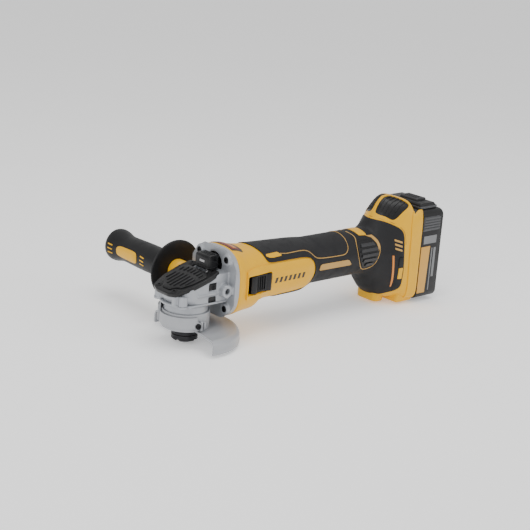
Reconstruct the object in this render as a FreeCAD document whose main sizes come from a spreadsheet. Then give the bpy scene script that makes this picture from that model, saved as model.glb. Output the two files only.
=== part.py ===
import math
import os
import re

import FreeCAD
import Part
import Sketcher
from FreeCAD import Placement, Rotation, Vector

# Cordless angle grinder with its side handle, wheel guard and battery pack, in millimetres.
# The origin is on the spindle's axis in the plane that the wheel seats against. +X runs back
# along the motor to the battery, +Y points along the side handle, and the spindle points down.

SIZES = {
    # Clearances: a shaft in its bore, a sliding piece in its guide, and two loose neighbours.
    "running_gap": 0.05,
    "sliding_gap": 0.3,
    "free_gap": 0.6,
    # Spindle, and the wheel seat on its lower end.
    "thread_radius": 7.0,
    "journal_radius": 7.5,
    "shoulder_radius": 9.5,
    "top_journal_radius": 4.0,
    "spindle_tip_depth": 11.0,
    "flange_radius": 14.8,
    "flange_thickness": 5.5,
    "pilot_radius": 11.05,
    "pilot_length": 3.0,
    "nut_gap": 0.9,
    "nut_thickness": 6.2,
    "nut_recess_radius": 12.4,
    "nut_recess_depth": 3.6,
    "nut_lug_count": 4,
    "nut_slot_width": 5.0,
    "nut_slot_depth": 1.6,
    # Bearing box: the neck that the guard turns on.
    "neck_radius": 24.5,
    "neck_bottom_z": 9.0,
    "neck_lip": 4.0,
    "head_floor_z": 36.0,
    "box_flange_thickness": 3.0,
    "box_screw_length": 10.0,
    "box_screw_head_height": 1.5,
    "chamber_radius": 24.4,
    "lower_bearing_radius": 17.5,
    "lower_bearing_width": 11.0,
    "retainer_thickness": 2.5,
    "top_bearing_radius": 6.0,
    "top_bearing_width": 7.0,
    "top_bearing_drop": 4.5,
    # Crown gear and pinion, whose pitch cones meet where the two shafts' axes cross.
    "motor_axis_z": 53.7,
    "gear_module": 1.05,
    "pinion_teeth": 12,
    "crown_teeth": 36,
    "gear_backlash": 0.36,
    "tooth_face": 5.6,
    "rim_radius": 23.8,
    "rim_thickness": 3.6,
    "notch_count": 12,
    "notch_radius": 1.9,
    "notch_circle_radius": 21.4,
    # Gear case.
    "head_front_radius": 29.6,
    "head_half_width": 26.5,
    "head_taper_height": 9.0,
    "head_lug_inset": 5.2,
    "head_lug_radius": 5.0,
    "chamber_roof_drop": 3.6,
    "window_front_x": 9.5,
    "window_rear_x": 20.0,
    "window_depth": 1.9,
    "upper_window_low_z": 51.5,
    "upper_window_high_z": 60.5,
    "lower_window_low_z": 39.6,
    "lower_window_high_z": 45.6,
    "side_rib_front_x": -6.0,
    "side_rib_low_z": 47.6,
    "side_rib_height": 2.0,
    "side_rib_proud": 1.4,
    "flange_front_x": 36.0,
    "flange_rear_x": 43.0,
    "flange_half_width": 38.5,
    "flange_half_height": 39.7,
    "flange_round_radius": 43.3,
    "flange_centre_z": 54.5,
    "roof_block_z": 69.6,
    "upper_case_screw_y": 23.5,
    "upper_case_screw_z": 83.0,
    "lower_case_screw_y": 25.0,
    "lower_case_screw_z": 27.6,
    "case_screw_length": 20.0,
    "case_screw_head_height": 3.4,
    # Sloping top plate.
    "plate_slope": 18.87,
    "plate_rear_x": 20.0,
    "plate_rear_z": 71.4,
    "plate_thickness": 2.6,
    "plate_half_width": 24.0,
    "plate_screw_front_x": -28.0,
    "plate_screw_front_y": 13.4,
    "plate_screw_rear_y": 18.0,
    "plate_screw_length": 8.0,
    "plate_nose_half_width": 9.0,
    # Spindle lock.
    "lock_pin_radius": 1.5,
    "lock_pin_seat": 1.2,
    "lock_spring_length": 6.6,
    "lock_spring_wire": 0.4,
    "lock_spring_turns": 5,
    "lock_pin_offset": 9.6,
    "lock_travel": 4.0,
    "lock_cap_front_x": 18.7,
    "lock_cap_rear_x": 35.5,
    "lock_cap_half_width": 10.2,
    "lock_cap_top_z": 84.0,
    "lock_skirt_half_width": 12.4,
    "lock_skirt_thickness": 2.4,
    # Side handle.
    "handle_x": 29.0,
    "handle_z": 51.0,
    "handle_boss_radius": 7.2,
    "handle_boss_face_y": 35.0,
    "handle_socket_radius": 3.4,
    "handle_socket_depth": 17.0,
    "handle_hub_radius": 14.0,
    "handle_hub_length": 21.0,
    "handle_disc_radius": 33.4,
    "handle_disc_thickness": 4.0,
    "handle_grip_length": 114.0,
    "handle_grip_radius": 16.6,
    "handle_flare_radius": 19.3,
    # Wheel guard.
    "guard_radius": 60.5,
    "guard_wall": 2.0,
    "guard_top_z": 8.0,
    "guard_skirt_depth": 8.0,
    "guard_shoulder": 9.0,
    "guard_sweep": 190.0,
    "guard_start": -103.0,
    "guard_inner_radius": 18.5,
    "collar_thickness": 1.8,
    "collar_top_z": 27.5,
    "lever_thickness": 1.6,
    "lever_start": -100.0,
    "lever_sweep": 172.0,
    "lever_flap_sweep": 60.0,
    "lever_bottom_z": 12.0,
    "lever_top_z": 25.0,
    "lever_flap_top_z": 34.0,
    "lever_eye_radius": 4.6,
    "lever_screw_z": 15.5,
    "lever_screw_radius": 1.8,
    "lever_screw_head": 3.2,
    "guard_bead": 1.2,
    # Motor.
    "shaft_radius": 5.0,
    "pinion_bore_radius": 2.4,
    "rear_journal_radius": 4.0,
    "front_bearing_radius": 11.0,
    "front_bearing_width": 7.0,
    "front_bearing_x": 27.0,
    "rear_bearing_radius": 9.5,
    "rear_bearing_width": 6.0,
    "rear_bearing_x": 139.0,
    "stator_front_x": 90.0,
    "stator_length": 40.0,
    "stator_radius": 25.5,
    "rotor_radius": 14.4,
    "air_gap": 0.7,
    "stator_yoke": 3.5,
    "stator_tooth_count": 6,
    "stator_tooth_width": 7.0,
    "coil_width": 12.5,
    "winding_overhang": 4.0,
    "fan_x": 48.0,
    "fan_length": 13.0,
    "fan_radius": 29.5,
    "fan_blade_count": 16,
    "fan_blade_thickness": 1.4,
    "fan_hub_radius": 9.0,
    "fan_eye_radius": 12.0,
    "fan_disc_thickness": 2.0,
    "baffle_thickness": 2.5,
    # Motor housing, grip and foot, a left and a right shell.
    "shell_wall": 2.6,
    "barrel_front_half": 38.6,
    "barrel_middle_half": 31.5,
    "barrel_middle_x": 92.0,
    "barrel_chin_x": 75.0,
    "barrel_rear_x": 168.0,
    "grip_radius": 26.9,
    "grip_centre_z": 57.6,
    "grip_skin": 1.5,
    "foot_front_x": 262.0,
    "foot_rear_x": 332.0,
    "foot_half_width": 37.6,
    "foot_bottom_z": -4.0,
    "foot_top_z": 122.0,
    "bay_depth": 13.5,
    "bay_wall": 2.6,
    "bay_floor_rise": 3.0,
    "vent_half_length": 13.5,
    "vent_centre_back": 18.0,
    "vent_low_z": 47.0,
    "vent_high_z": 79.0,
    "vent_slot_height": 2.2,
    "vent_slot_pitch": 5.0,
    "grille_front": 24.0,
    "grille_length": 22.0,
    "grille_half_width": 20.0,
    "grille_slot_pitch": 4.0,
    "rail_width": 2.4,
    "rail_depth": 3.2,
    # Slide switch on the left side.
    "switch_front_x": 61.0,
    "switch_length": 30.0,
    "switch_height": 20.0,
    "switch_centre_z": 53.5,
    "switch_travel": 6.0,
    "switch_proud": 1.8,
    "switch_rod_width": 10.0,
    "switch_rod_thickness": 2.0,
    "switch_rod_inner_y": 16.0,
    "switch_module_length": 26.0,
    "lead_radius": 1.4,
    "blade_pitch": 6.0,
    "blade_thickness": 0.8,
    "blade_height": 30.0,
    # Battery pack.
    "battery_rear_x": 369.6,
    "battery_bottom_z": -7.0,
    "battery_top_z": 106.0,
    "battery_wall": 2.3,
    "battery_corner": 6.0,
    "cell_radius": 9.15,
    "cell_length": 65.0,
    "cell_pitch": 19.6,
    "cell_row_pitch": 18.4,
    "cell_rows": 5,
    "holder_depth": 9.2,
    "pack_board_thickness": 1.4,
    "latch_block_height": 13.0,
    "latch_half_width": 14.0,
    "latch_length": 17.0,
    "latch_proud": 2.6,
    "latch_travel": 2.5,
    "gauge_radius": 5.0,
    # Screws.
    "case_screw_radius": 1.9,
    "case_screw_head": 3.3,
    "small_screw_radius": 1.5,
    "small_screw_head": 2.7,
    "shell_screw_length": 34.0,
    "shell_screw_seat_y": 18.0,
    "pack_screw_length": 14.0,
}

doc = FreeCAD.newDocument("AngleGrinder")
sheet = doc.addObject("Spreadsheet::Sheet", "Sizes")
for row, (alias, number) in enumerate(SIZES.items(), start=1):
    sheet.set("A%d" % row, alias)
    sheet.set("B%d" % row, str(number))
    sheet.setAlias("B%d" % row, alias)
doc.recompute()

PARTS = []
TURNS = {
    "x": Rotation(Vector(0, 1, 0), 90),
    "-x": Rotation(Vector(0, 1, 0), -90),
    "y": Rotation(Vector(1, 0, 0), -90),
    "-y": Rotation(Vector(1, 0, 0), 90),
    "z": Rotation(),
    "-z": Rotation(Vector(1, 0, 0), 180),
}


def link(text):
    """Point every size named in an expression at its cell of the sheet."""
    return re.sub(r"\b[a-z]+(?:_[a-z]+)+\b", lambda found: "Sizes." + found.group(0), str(text))


def number(text):
    """What an expression on the sheet's sizes comes to."""
    return float(sheet.evalExpression(str(text)))


def bind(item, **sizes):
    for name, text in sizes.items():
        item.setExpression(name, link(text))
    return item


def put(item, at, axis="z"):
    """Turn an item's Z axis to the named one and bind its place."""
    item.Placement = Placement(Vector(), TURNS[axis])
    for letter, text in zip("xyz", at):
        item.setExpression("Placement.Base." + letter, link(text))
    return item


def cylinder(radius, length, at, axis="z"):
    item = doc.addObject("Part::Cylinder", "Cylinder")
    return put(bind(item, Radius=radius, Height=length), at, axis)


def cone(radius_low, radius_high, length, at, axis="z"):
    item = doc.addObject("Part::Cone", "Cone")
    return put(bind(item, Radius1=radius_low, Radius2=radius_high, Height=length), at, axis)


def block(low, high):
    """A box between two corners."""
    item = doc.addObject("Part::Box", "Block")
    spans = ["(%s) - (%s)" % (b, a) for a, b in zip(low, high)]
    return put(bind(item, Length=spans[0], Width=spans[1], Height=spans[2]), low)


def slab(x_low, x_high, half_width, z_low, z_high, y_centre="0"):
    """A box that is even about a plane of constant Y."""
    low = (x_low, "%s - (%s)" % (y_centre, half_width), z_low)
    return block(low, (x_high, "%s + (%s)" % (y_centre, half_width), z_high))


def fuse(*items):
    item = doc.addObject("Part::MultiFuse", "Fusion")
    item.Shapes = list(items)
    return item


def common(*items):
    item = doc.addObject("Part::MultiCommon", "Common")
    item.Shapes = list(items)
    return item


def cut(base, *tools):
    item = doc.addObject("Part::Cut", "Cut")
    item.Base = base
    item.Tool = tools[0] if len(tools) == 1 else fuse(*tools)
    return item


def group(*items):
    """Separate solids kept in one sub-part."""
    item = doc.addObject("Part::Compound", "Group")
    item.Links = list(items)
    return item


def tube(radius, bore, length, at, axis="z"):
    return cut(cylinder(radius, length, at, axis), cylinder(bore, length, at, axis))


def formed(shape):
    """A shape made straight from the sheet's sizes."""
    item = doc.addObject("Part::Feature", "Formed")
    item.Shape = shape
    return item


def part(label, item):
    item.Label = label
    PARTS.append(item)
    return item


def outline_sketch(body, role, corners):
    """A closed outline in one of a body's origin planes, each corner bound to the sheet."""
    sketch = body.newObject("Sketcher::SketchObject", "Outline")
    plane = [item for item in body.Origin.OriginFeatures if item.Role == role][0]
    sketch.AttachmentSupport = [(plane, "")]
    sketch.MapMode = "FlatFace"
    count = len(corners)
    ring = [Vector(10, 0, 0)] * count
    for i in range(count):
        turn = 2 * math.pi * i / count
        ring[i] = Vector(10 * math.cos(turn), 10 * math.sin(turn), 0)
    for i in range(count):
        sketch.addGeometry(Part.LineSegment(ring[i], ring[(i + 1) % count]), False)
    for i in range(count):
        sketch.addConstraint(Sketcher.Constraint("Coincident", i, 2, (i + 1) % count, 1))
    for i, corner in enumerate(corners):
        for kind, text in zip(("DistanceX", "DistanceY"), corner):
            index = sketch.addConstraint(Sketcher.Constraint(kind, -1, 1, i, 1, 1.0))
            sketch.setExpression("Constraints[%d]" % index, link(text))
    return sketch


def turned(corners, at=("0", "0", "0"), axis="z"):
    """A body turned from an outline of (radius, height) corners about its own Z axis."""
    body = doc.addObject("PartDesign::Body", "Turned")
    sketch = outline_sketch(body, "XZ_Plane", corners)
    feature = body.newObject("PartDesign::Revolution", "Revolution")
    feature.Profile = sketch
    feature.ReferenceAxis = (sketch, ["V_Axis"])
    feature.Angle = 360
    return put(body, at, axis)


def padded(role, corners, length, at=("0", "0", "0")):
    """A body padded evenly to both sides of one of its origin planes."""
    body = doc.addObject("PartDesign::Body", "Padded")
    sketch = outline_sketch(body, role, corners)
    feature = body.newObject("PartDesign::Pad", "Pad")
    feature.Profile = sketch
    feature.Midplane = True
    bind(feature, Length=length)
    return put(body, at)


def around(item, count, axis=Vector(0, 0, 1), centre=Vector(0, 0, 0), start=0.0):
    """Copies of a formed item, evenly spaced about an axis."""
    copies = []
    for i in range(int(count)):
        copy = item.copy()
        copy.rotate(centre, axis, start + 360.0 * i / int(count))
        copies.append(copy)
    return copies


def screw(head_radius, head_height, shank_radius, shank_length, at, axis):
    """A cap screw: its head starts at the given point and the shank follows along the axis."""
    head = cylinder(head_radius, head_height, at, axis)
    shank = cylinder(shank_radius, "%s + %s" % (head_height, shank_length), at, axis)
    socket = doc.addObject("Part::Prism", "Socket")
    socket.Polygon = 6
    bind(socket, Circumradius="(%s) * 0.5" % head_radius, Height="(%s) * 0.6" % head_height)
    return cut(fuse(head, shank), put(socket, at, axis))


def bearing(label, radius, bore, width, at, axis, ball_count):
    """A ball bearing: two rings and a loose set of balls between them."""
    wall = "(%s - (%s)) * 0.3" % (radius, bore)
    outer = tube(radius, "%s - %s" % (radius, wall), width, at, axis)
    inner = tube("%s + %s" % (bore, wall), bore, width, at, axis)
    direction = TURNS[axis].multVec(Vector(0, 0, 1))
    reach = (number(radius) + number(bore)) / 2
    ball = Part.makeSphere(0.19 * (number(radius) - number(bore)))
    middle = Vector(*[number(text) for text in at]) + direction * (number(width) / 2)
    ball.translate(middle + TURNS[axis].multVec(Vector(reach, 0, 0)))
    balls = around(ball, ball_count, direction, middle)
    return part(label, group(outer, inner, formed(Part.makeCompound(balls))))


# ---- Spindle, wheel flange and clamp nut --------------------------------------------------

# The spindle's shoulder holds the backing flange, and its long journal carries the lower
# bearing and the crown gear. The small journal on top runs in the case's roof.
top_bearing_z = "motor_axis_z - top_bearing_drop"
spindle_top_z = "%s + top_bearing_width" % top_bearing_z
bearing_z = "neck_bottom_z + neck_lip"
part("spindle", turned([
    ("0", "-spindle_tip_depth"),
    ("thread_radius - 1", "-spindle_tip_depth"),
    ("thread_radius", "1 - spindle_tip_depth"),
    ("thread_radius", "flange_thickness"),
    ("shoulder_radius", "flange_thickness"),
    ("shoulder_radius", bearing_z),
    ("journal_radius", bearing_z),
    ("journal_radius", "%s - 1" % top_bearing_z),
    ("top_journal_radius", "%s - 1" % top_bearing_z),
    ("top_journal_radius", "%s - 0.5" % spindle_top_z),
    ("0", "%s - 0.5" % spindle_top_z),
]))

# The pilot below the flange's seat centres the wheel's bore.
part("backing_flange", turned([
    ("thread_radius", "-pilot_length"),
    ("pilot_radius", "-pilot_length"),
    ("pilot_radius", "0"),
    ("flange_radius", "0"),
    ("flange_radius", "flange_thickness - 1"),
    ("flange_radius - 1", "flange_thickness"),
    ("thread_radius", "flange_thickness"),
]))

# The nut's recess clears the pilot, and the lugs below it take a pin wrench.
nut_top = "-nut_gap"
nut_bottom = "-nut_gap - nut_thickness"
nut_bore = "thread_radius + running_gap"
nut_body = turned([
    (nut_bore, "-nut_recess_depth - nut_gap"),
    ("nut_recess_radius", "-nut_recess_depth - nut_gap"),
    ("nut_recess_radius", nut_top),
    ("flange_radius", nut_top),
    ("flange_radius", "%s + 1" % nut_bottom),
    ("flange_radius - 1", nut_bottom),
    (nut_bore, nut_bottom),
])
slot_width = number("nut_slot_width")
lug_slot = Part.makeBox(number("flange_radius"), slot_width, 2 * number("nut_slot_depth"))
lug_slot.translate(Vector(number("thread_radius + 3"), -slot_width / 2,
                          number("%s - nut_slot_depth" % nut_bottom)))
lug_slots = formed(Part.makeCompound(around(lug_slot, number("nut_lug_count"), start=20)))
part("clamp_nut", cut(nut_body, lug_slots))

# ---- Bevel gears --------------------------------------------------------------------------

crown_pitch = number("gear_module * crown_teeth / 2")
pinion_pitch = number("gear_module * pinion_teeth / 2")
axis_z = number("motor_axis_z")
module = number("gear_module")
face_inner = crown_pitch - number("tooth_face")
pressure = math.radians(20)
addendum = 0.9 * module
dedendum = 1.25 * module
half_tooth = math.pi * module / 4 - number("gear_backlash") / 4


def toward_apex(points, x_outer, x_inner):
    """A tooth whose flanks all point at the apex, where the two shafts' axes cross."""
    wires = []
    for x in (x_outer, x_inner):
        scale = x / crown_pitch
        ring = [Vector(x, y * scale, axis_z + z * scale) for y, z in points]
        wires.append(Part.makePolygon(ring + [ring[0]]))
    return Part.makeLoft(wires, True, True)


def root_z(radius):
    """Height of the crown gear's root cone at a radius."""
    return axis_z - (pinion_pitch + dedendum) * radius / crown_pitch


# The crown gear's teeth are straight-flanked wedges on a shallow cone, and its rim below
# them has a ring of holes that the lock pin drops into.
crown_tip = -(pinion_pitch - addendum)
crown_root = -(pinion_pitch + dedendum + 0.3)
tip_half = half_tooth - addendum * math.tan(pressure)
root_half = half_tooth + (dedendum + 0.3) * math.tan(pressure)
crown_tooth = toward_apex([
    (-root_half, crown_root),
    (-tip_half, crown_tip),
    (tip_half, crown_tip),
    (root_half, crown_root),
], crown_pitch, face_inner)
rim_top = root_z(crown_pitch) - 0.6
rim_bottom = rim_top - number("rim_thickness")
hub_radius = face_inner - 1.5
hub_bottom = number("head_floor_z + box_flange_thickness") - 0.4
blank = Part.makePolygon([
    Vector(number("journal_radius"), 0, hub_bottom),
    Vector(hub_radius, 0, hub_bottom),
    Vector(hub_radius, 0, rim_bottom),
    Vector(number("rim_radius"), 0, rim_bottom),
    Vector(number("rim_radius"), 0, rim_top),
    Vector(crown_pitch, 0, rim_top),
    Vector(crown_pitch, 0, root_z(crown_pitch)),
    Vector(face_inner, 0, root_z(face_inner)),
    Vector(number("journal_radius"), 0, root_z(face_inner)),
    Vector(number("journal_radius"), 0, hub_bottom),
])
blank = Part.Face(blank).revolve(Vector(0, 0, 0), Vector(0, 0, 1), 360)
notch = Part.makeCylinder(number("notch_radius"), number("rim_thickness") + 2)
pin_y = -number("lock_pin_offset")
pin_x = math.sqrt(number("notch_circle_radius") ** 2 - pin_y ** 2)
notch.translate(Vector(pin_x, pin_y, rim_bottom - 1))
teeth = around(crown_tooth, number("crown_teeth"), start=180.0 / number("crown_teeth"))
crown = blank.multiFuse(teeth).cut(around(notch, number("notch_count")))
part("crown_gear", formed(crown))


def pinion_outline(gear_teeth):
    """The pinion's section at the pitch radius of the crown gear, with involute flanks."""
    base = pinion_pitch * math.cos(pressure)
    tip = pinion_pitch + addendum
    root = pinion_pitch - dedendum
    flank_lead = math.tan(pressure) - pressure
    half_angle = half_tooth / pinion_pitch
    flank = []
    for step in range(5):
        radius = base + (tip - base) * step / 4
        spread = math.acos(base / radius)
        flank.append((radius, half_angle + flank_lead - (math.tan(spread) - spread)))
    points = []
    for tooth in range(gear_teeth):
        middle = -math.pi / 2 + 2 * math.pi * tooth / gear_teeth
        side = [(root, flank[0][1])] + flank
        turns = [(radius, middle - angle) for radius, angle in side]
        turns += [(radius, middle + angle) for radius, angle in reversed(side)]
        points += [(radius * math.cos(turn), radius * math.sin(turn)) for radius, turn in turns]
    return points


pinion_front = face_inner + 0.2
pinion_rear = crown_pitch + 0.3
bearing_front = number("front_bearing_x")


def on_motor(radius, x_front, x_rear):
    """A plain cylinder on the motor's axis."""
    return Part.makeCylinder(radius, x_rear - x_front, Vector(x_front, 0, axis_z), Vector(1, 0, 0))


pinion = toward_apex(pinion_outline(int(number("pinion_teeth"))), pinion_rear, pinion_front)
pinion_hub = on_motor(pinion_pitch - dedendum - 0.2, pinion_rear, bearing_front)
pinion_bore = on_motor(number("pinion_bore_radius"), 0, bearing_front)
part("pinion", formed(pinion.fuse(pinion_hub).cut(pinion_bore)))

# ---- Bearing box --------------------------------------------------------------------------

case_floor_z = "head_floor_z + box_flange_thickness"
corner_reach = "(head_half_width - head_lug_inset)"
corners = [(a + corner_reach, b + corner_reach) for a in ("", "-") for b in ("", "-")]
retainer_z = "%s + lower_bearing_width" % bearing_z


def head_plate(z_low, z_high):
    """The head's plan between two heights: round in front, flat-sided behind."""
    height = "%s - (%s)" % (z_high, z_low)
    lugs = [cylinder("head_lug_radius + 0.6", height, (x, y, z_low)) for x, y in corners]
    disc = cylinder("head_front_radius", height, ("0", "0", z_low))
    sides = slab("-head_front_radius", "flange_front_x", "head_half_width", z_low, z_high)
    rear = slab("0", "flange_front_x", "head_half_width", z_low, z_high)
    return fuse(common(disc, sides), rear, *lugs)


box_screw_holes = [cylinder("small_screw_radius", "30", (x, y, "head_floor_z - 5")) for x, y in corners]
box_head_holes = [
    cylinder("small_screw_head", "box_screw_head_height + 0.5", (x, y, "head_floor_z - 0.5"))
    for x, y in corners
]
part("bearing_box", cut(
    fuse(
        cylinder("neck_radius", "head_floor_z - neck_bottom_z", ("0", "0", "neck_bottom_z")),
        head_plate("head_floor_z", case_floor_z),
    ),
    cylinder("shoulder_radius + free_gap", "neck_lip", ("0", "0", "neck_bottom_z")),
    cylinder("lower_bearing_radius", "60", ("0", "0", bearing_z)),
    cylinder("neck_radius - 3", "60", ("0", "0", "%s + retainer_thickness" % retainer_z)),
    *box_screw_holes, *box_head_holes
))
part("bearing_box_screws", group(*[
    screw("small_screw_head", "box_screw_head_height", "small_screw_radius", "box_screw_length",
          (x, y, "head_floor_z"), "z")
    for x, y in corners
]))
bearing("lower_bearing", "lower_bearing_radius", "journal_radius + running_gap",
        "lower_bearing_width", ("0", "0", bearing_z), "z", 9)
part("bearing_retainer", tube(
    "lower_bearing_radius", "shoulder_radius + 3", "retainer_thickness", ("0", "0", retainer_z)))
bearing("upper_bearing", "top_bearing_radius", "top_journal_radius + running_gap",
        "top_bearing_width", ("0", "0", top_bearing_z), "z", 8)

# ---- Gear case ----------------------------------------------------------------------------

# Everything above the sloping plane under the top plate is cut off the head.
slope_cos = math.cos(math.radians(number("plate_slope")))
slope_sin = math.sin(math.radians(number("plate_slope")))
slope_turn = Rotation(Vector(0, 1, 0), -number("plate_slope"))
seat_z = number("plate_rear_z") - number("plate_thickness") / slope_cos


def on_slope(x, y, lift=0.0):
    """A point on the plane under the top plate, lifted square to it."""
    z = seat_z + (x - number("plate_rear_x")) * slope_sin / slope_cos
    return Vector(x, y, z) + Vector(-slope_sin, 0, slope_cos) * lift


above = Part.makeBox(120, 120, 60, Vector(-120, -60, 0))
above.Placement = Placement(on_slope(number("plate_rear_x") + 3.8, 0), slope_turn)
shoulder_z = "head_floor_z + head_taper_height"
head_taper = cone("head_front_radius - 3.4", "head_front_radius",
                  "head_taper_height - box_flange_thickness", ("0", "0", case_floor_z))
head_upper = cylinder("head_front_radius", "roof_block_z - (%s)" % shoulder_z, ("0", "0", shoulder_z))
head_sides = slab("-head_front_radius", "flange_rear_x", "head_half_width", case_floor_z, "120")
rear_body = slab("0", "flange_rear_x", "head_half_width", case_floor_z, "roof_block_z")
head_lugs = [cylinder("head_lug_radius", "box_screw_length + 1", (x, y, case_floor_z)) for x, y in corners]
flange = common(
    slab("flange_front_x", "flange_rear_x", "flange_half_width",
         "flange_centre_z - flange_half_height", "flange_centre_z + flange_half_height"),
    cylinder("flange_round_radius", "20", ("flange_front_x", "0", "flange_centre_z"), "x"),
)
handle_bosses = cylinder("handle_boss_radius", "2 * handle_boss_face_y",
                         ("handle_x", "-handle_boss_face_y", "handle_z"), "y")
flange_screws = [
    (side + "%s_case_screw_y" % level, "%s_case_screw_z" % level)
    for level in ("upper", "lower") for side in ("", "-")
]
flange_bosses = [cylinder("case_screw_head + 2.4", "4", ("flange_front_x - 3", y, z), "x")
                 for y, z in flange_screws]
side_ribs = slab("side_rib_front_x", "handle_x", "head_half_width + side_rib_proud",
                 "side_rib_low_z", "side_rib_low_z + side_rib_height")
head_solid = fuse(
    cut(common(fuse(head_taper, head_upper), head_sides), formed(above)),
    cut(rear_body, formed(above.copy())),
    flange, handle_bosses, side_ribs, *(head_lugs + flange_bosses)
)
chamber_top = "motor_axis_z - chamber_roof_drop"
pinion_well_radius = "gear_module * pinion_teeth / 2 + gear_module + 1"
windows = []
for side in ("-head_half_width - 2", "head_half_width - window_depth"):
    for level in ("lower", "upper"):
        windows.append(block(
            ("window_front_x", side, level + "_window_low_z"),
            ("window_rear_x", "%s + window_depth + 2" % side, level + "_window_high_z"),
        ))

# The lock button's well keeps a thin floor over the motor's front bearing.
skirt_low = "roof_block_z + free_gap"
lock_front_x = "lock_cap_front_x - lock_pin_seat"
lock_well = slab("%s - sliding_gap" % lock_front_x, "lock_cap_rear_x - 2",
                 "lock_skirt_half_width + sliding_gap",
                 "%s - lock_travel - free_gap" % skirt_low, "roof_block_z + 20")
lock_recess = cylinder("lock_skirt_half_width + 0.8", "lock_cap_rear_x - flange_front_x + 5",
                       ("flange_front_x - 0.1", "0", "roof_block_z + 4"), "x")
pin_at = (str(pin_x), "-lock_pin_offset")
spring_floor_z = "%s - lock_travel - lock_spring_length - 1" % skirt_low
sockets = [
    cylinder("handle_socket_radius", "handle_socket_depth", ("handle_x", y, "handle_z"), axis)
    for y, axis in (("-handle_boss_face_y", "y"), ("handle_boss_face_y", "-y"))
]
case_screw_holes = [
    cylinder("case_screw_radius", "40", ("flange_front_x - 10", y, z), "x") for y, z in flange_screws
]
case_head_holes = [
    cylinder("case_screw_head + 0.2", "20", ("flange_front_x", y, z), "-x") for y, z in flange_screws
]
box_thread_holes = [
    cylinder("small_screw_radius", "box_screw_length + box_screw_head_height - box_flange_thickness",
             (x, y, case_floor_z))
    for x, y in corners
]
plate_screws = [
    (end_x, side + end_y)
    for end_x, end_y in (("plate_screw_front_x", "plate_screw_front_y"),
                         ("plate_rear_x", "plate_screw_rear_y"))
    for side in ("", "-")
]
down = Vector(slope_sin, 0, -slope_cos)
plate_holes = []
plate_bolts = []
for x, y in plate_screws:
    seat = on_slope(number(x) + 0.9, number(y), number("plate_thickness"))
    top = seat + down * -0.6
    shank = Part.makeCylinder(number("small_screw_radius"), number("plate_screw_length"), seat, down)
    head = Part.makeCylinder(number("small_screw_head"), 1.6, top, down)
    head_hole = Part.makeCylinder(number("small_screw_head") + 0.1, 3, seat + down * -2, down)
    plate_holes.append(shank.fuse(head_hole))
    plate_bolts.append(shank.fuse(head).cut(Part.makeCylinder(1.2, 1.0, top, down)))
plate_hole_set = formed(Part.makeCompound(plate_holes))
part("gear_case", cut(
    head_solid,
    cylinder("chamber_radius", "%s - (%s)" % (chamber_top, case_floor_z), ("0", "0", case_floor_z)),
    cylinder(pinion_well_radius, "front_bearing_x - 8", ("8", "0", "motor_axis_z"), "x"),
    cylinder("top_bearing_radius", "top_bearing_width + 1", ("0", "0", top_bearing_z)),
    cylinder("front_bearing_radius", "60", ("front_bearing_x", "0", "motor_axis_z"), "x"),
    lock_well, lock_recess,
    cylinder("lock_pin_radius + sliding_gap", "80", (pin_at[0], pin_at[1], chamber_top)),
    cylinder("lock_pin_radius + 1.8", "20", (pin_at[0], pin_at[1], spring_floor_z)),
    plate_hole_set,
    *(windows + sockets + case_screw_holes + case_head_holes + box_thread_holes)
))
part("gear_case_screws", group(*[
    screw("case_screw_head", "case_screw_head_height", "case_screw_radius", "case_screw_length",
          ("flange_front_x - case_screw_head_height", y, z), "x")
    for y, z in flange_screws
]))

# The top plate narrows to the front and is notched around the lock button.
plate_outline = [(number(x), number(y)) for x, y in (
    ("plate_screw_front_x - 5", "plate_nose_half_width"),
    ("plate_screw_front_x - 0.5", "plate_screw_front_y + 4.2"),
    ("-8", "plate_half_width"),
    ("12", "plate_half_width"),
    ("plate_rear_x + 3.6", "plate_screw_rear_y + 3.4"),
    ("plate_rear_x + 3.6", "lock_skirt_half_width + 1.2"),
    ("lock_cap_front_x - 2.6", "lock_skirt_half_width + 1.2"),
)]
plate_ring = [on_slope(x, -y) for x, y in plate_outline]
plate_ring += [on_slope(x, y) for x, y in reversed(plate_outline)]
plate_face = Part.Face(Part.makePolygon(plate_ring + [plate_ring[0]]))
plate_solid = plate_face.extrude(Vector(-slope_sin, 0, slope_cos) * number("plate_thickness"))
part("top_plate", formed(plate_solid.cut(plate_holes)))
part("top_plate_screws", formed(Part.makeCompound(plate_bolts)))

# ---- Spindle lock -------------------------------------------------------------------------

skirt_high = "%s + lock_skirt_thickness" % skirt_low
lock_rear_x = "lock_cap_rear_x - 2.6"
pin_gap_z = "%.4f" % (rim_top + 0.9)
lock_cap = slab("lock_cap_front_x", lock_rear_x, "lock_cap_half_width", skirt_low, "lock_cap_top_z")
lock_skirt = slab(lock_front_x, lock_rear_x, "lock_skirt_half_width", skirt_low, skirt_high)
pin_seat = cylinder("lock_pin_radius", "lock_pin_seat", (*pin_at, skirt_low))
part("spindle_lock_button", cut(fuse(lock_cap, lock_skirt), pin_seat))
part("spindle_lock_pin", cylinder(
    "lock_pin_radius", "%s + lock_pin_seat - %s" % (skirt_low, pin_gap_z), (*pin_at, pin_gap_z)))

# The spring stands round the pin between the case and the button.
coil_height = number(skirt_low) - number(spring_floor_z) - 1.1
coil_radius = number("lock_pin_radius + lock_spring_wire") + 0.55
spring_wire = number("lock_spring_wire")
helix = Part.makeHelix(coil_height / number("lock_spring_turns"), coil_height, coil_radius)
wire_circle = Part.Wire(Part.makeCircle(spring_wire, Vector(coil_radius, 0, 0), Vector(0, 1, 0)))
lock_coil = Part.Wire(helix).makePipeShell([wire_circle], True, True)
lock_coil.translate(Vector(pin_x, pin_y, number(spring_floor_z) + 0.5))
part("lock_spring", formed(lock_coil))

# ---- Side handle --------------------------------------------------------------------------

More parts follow.
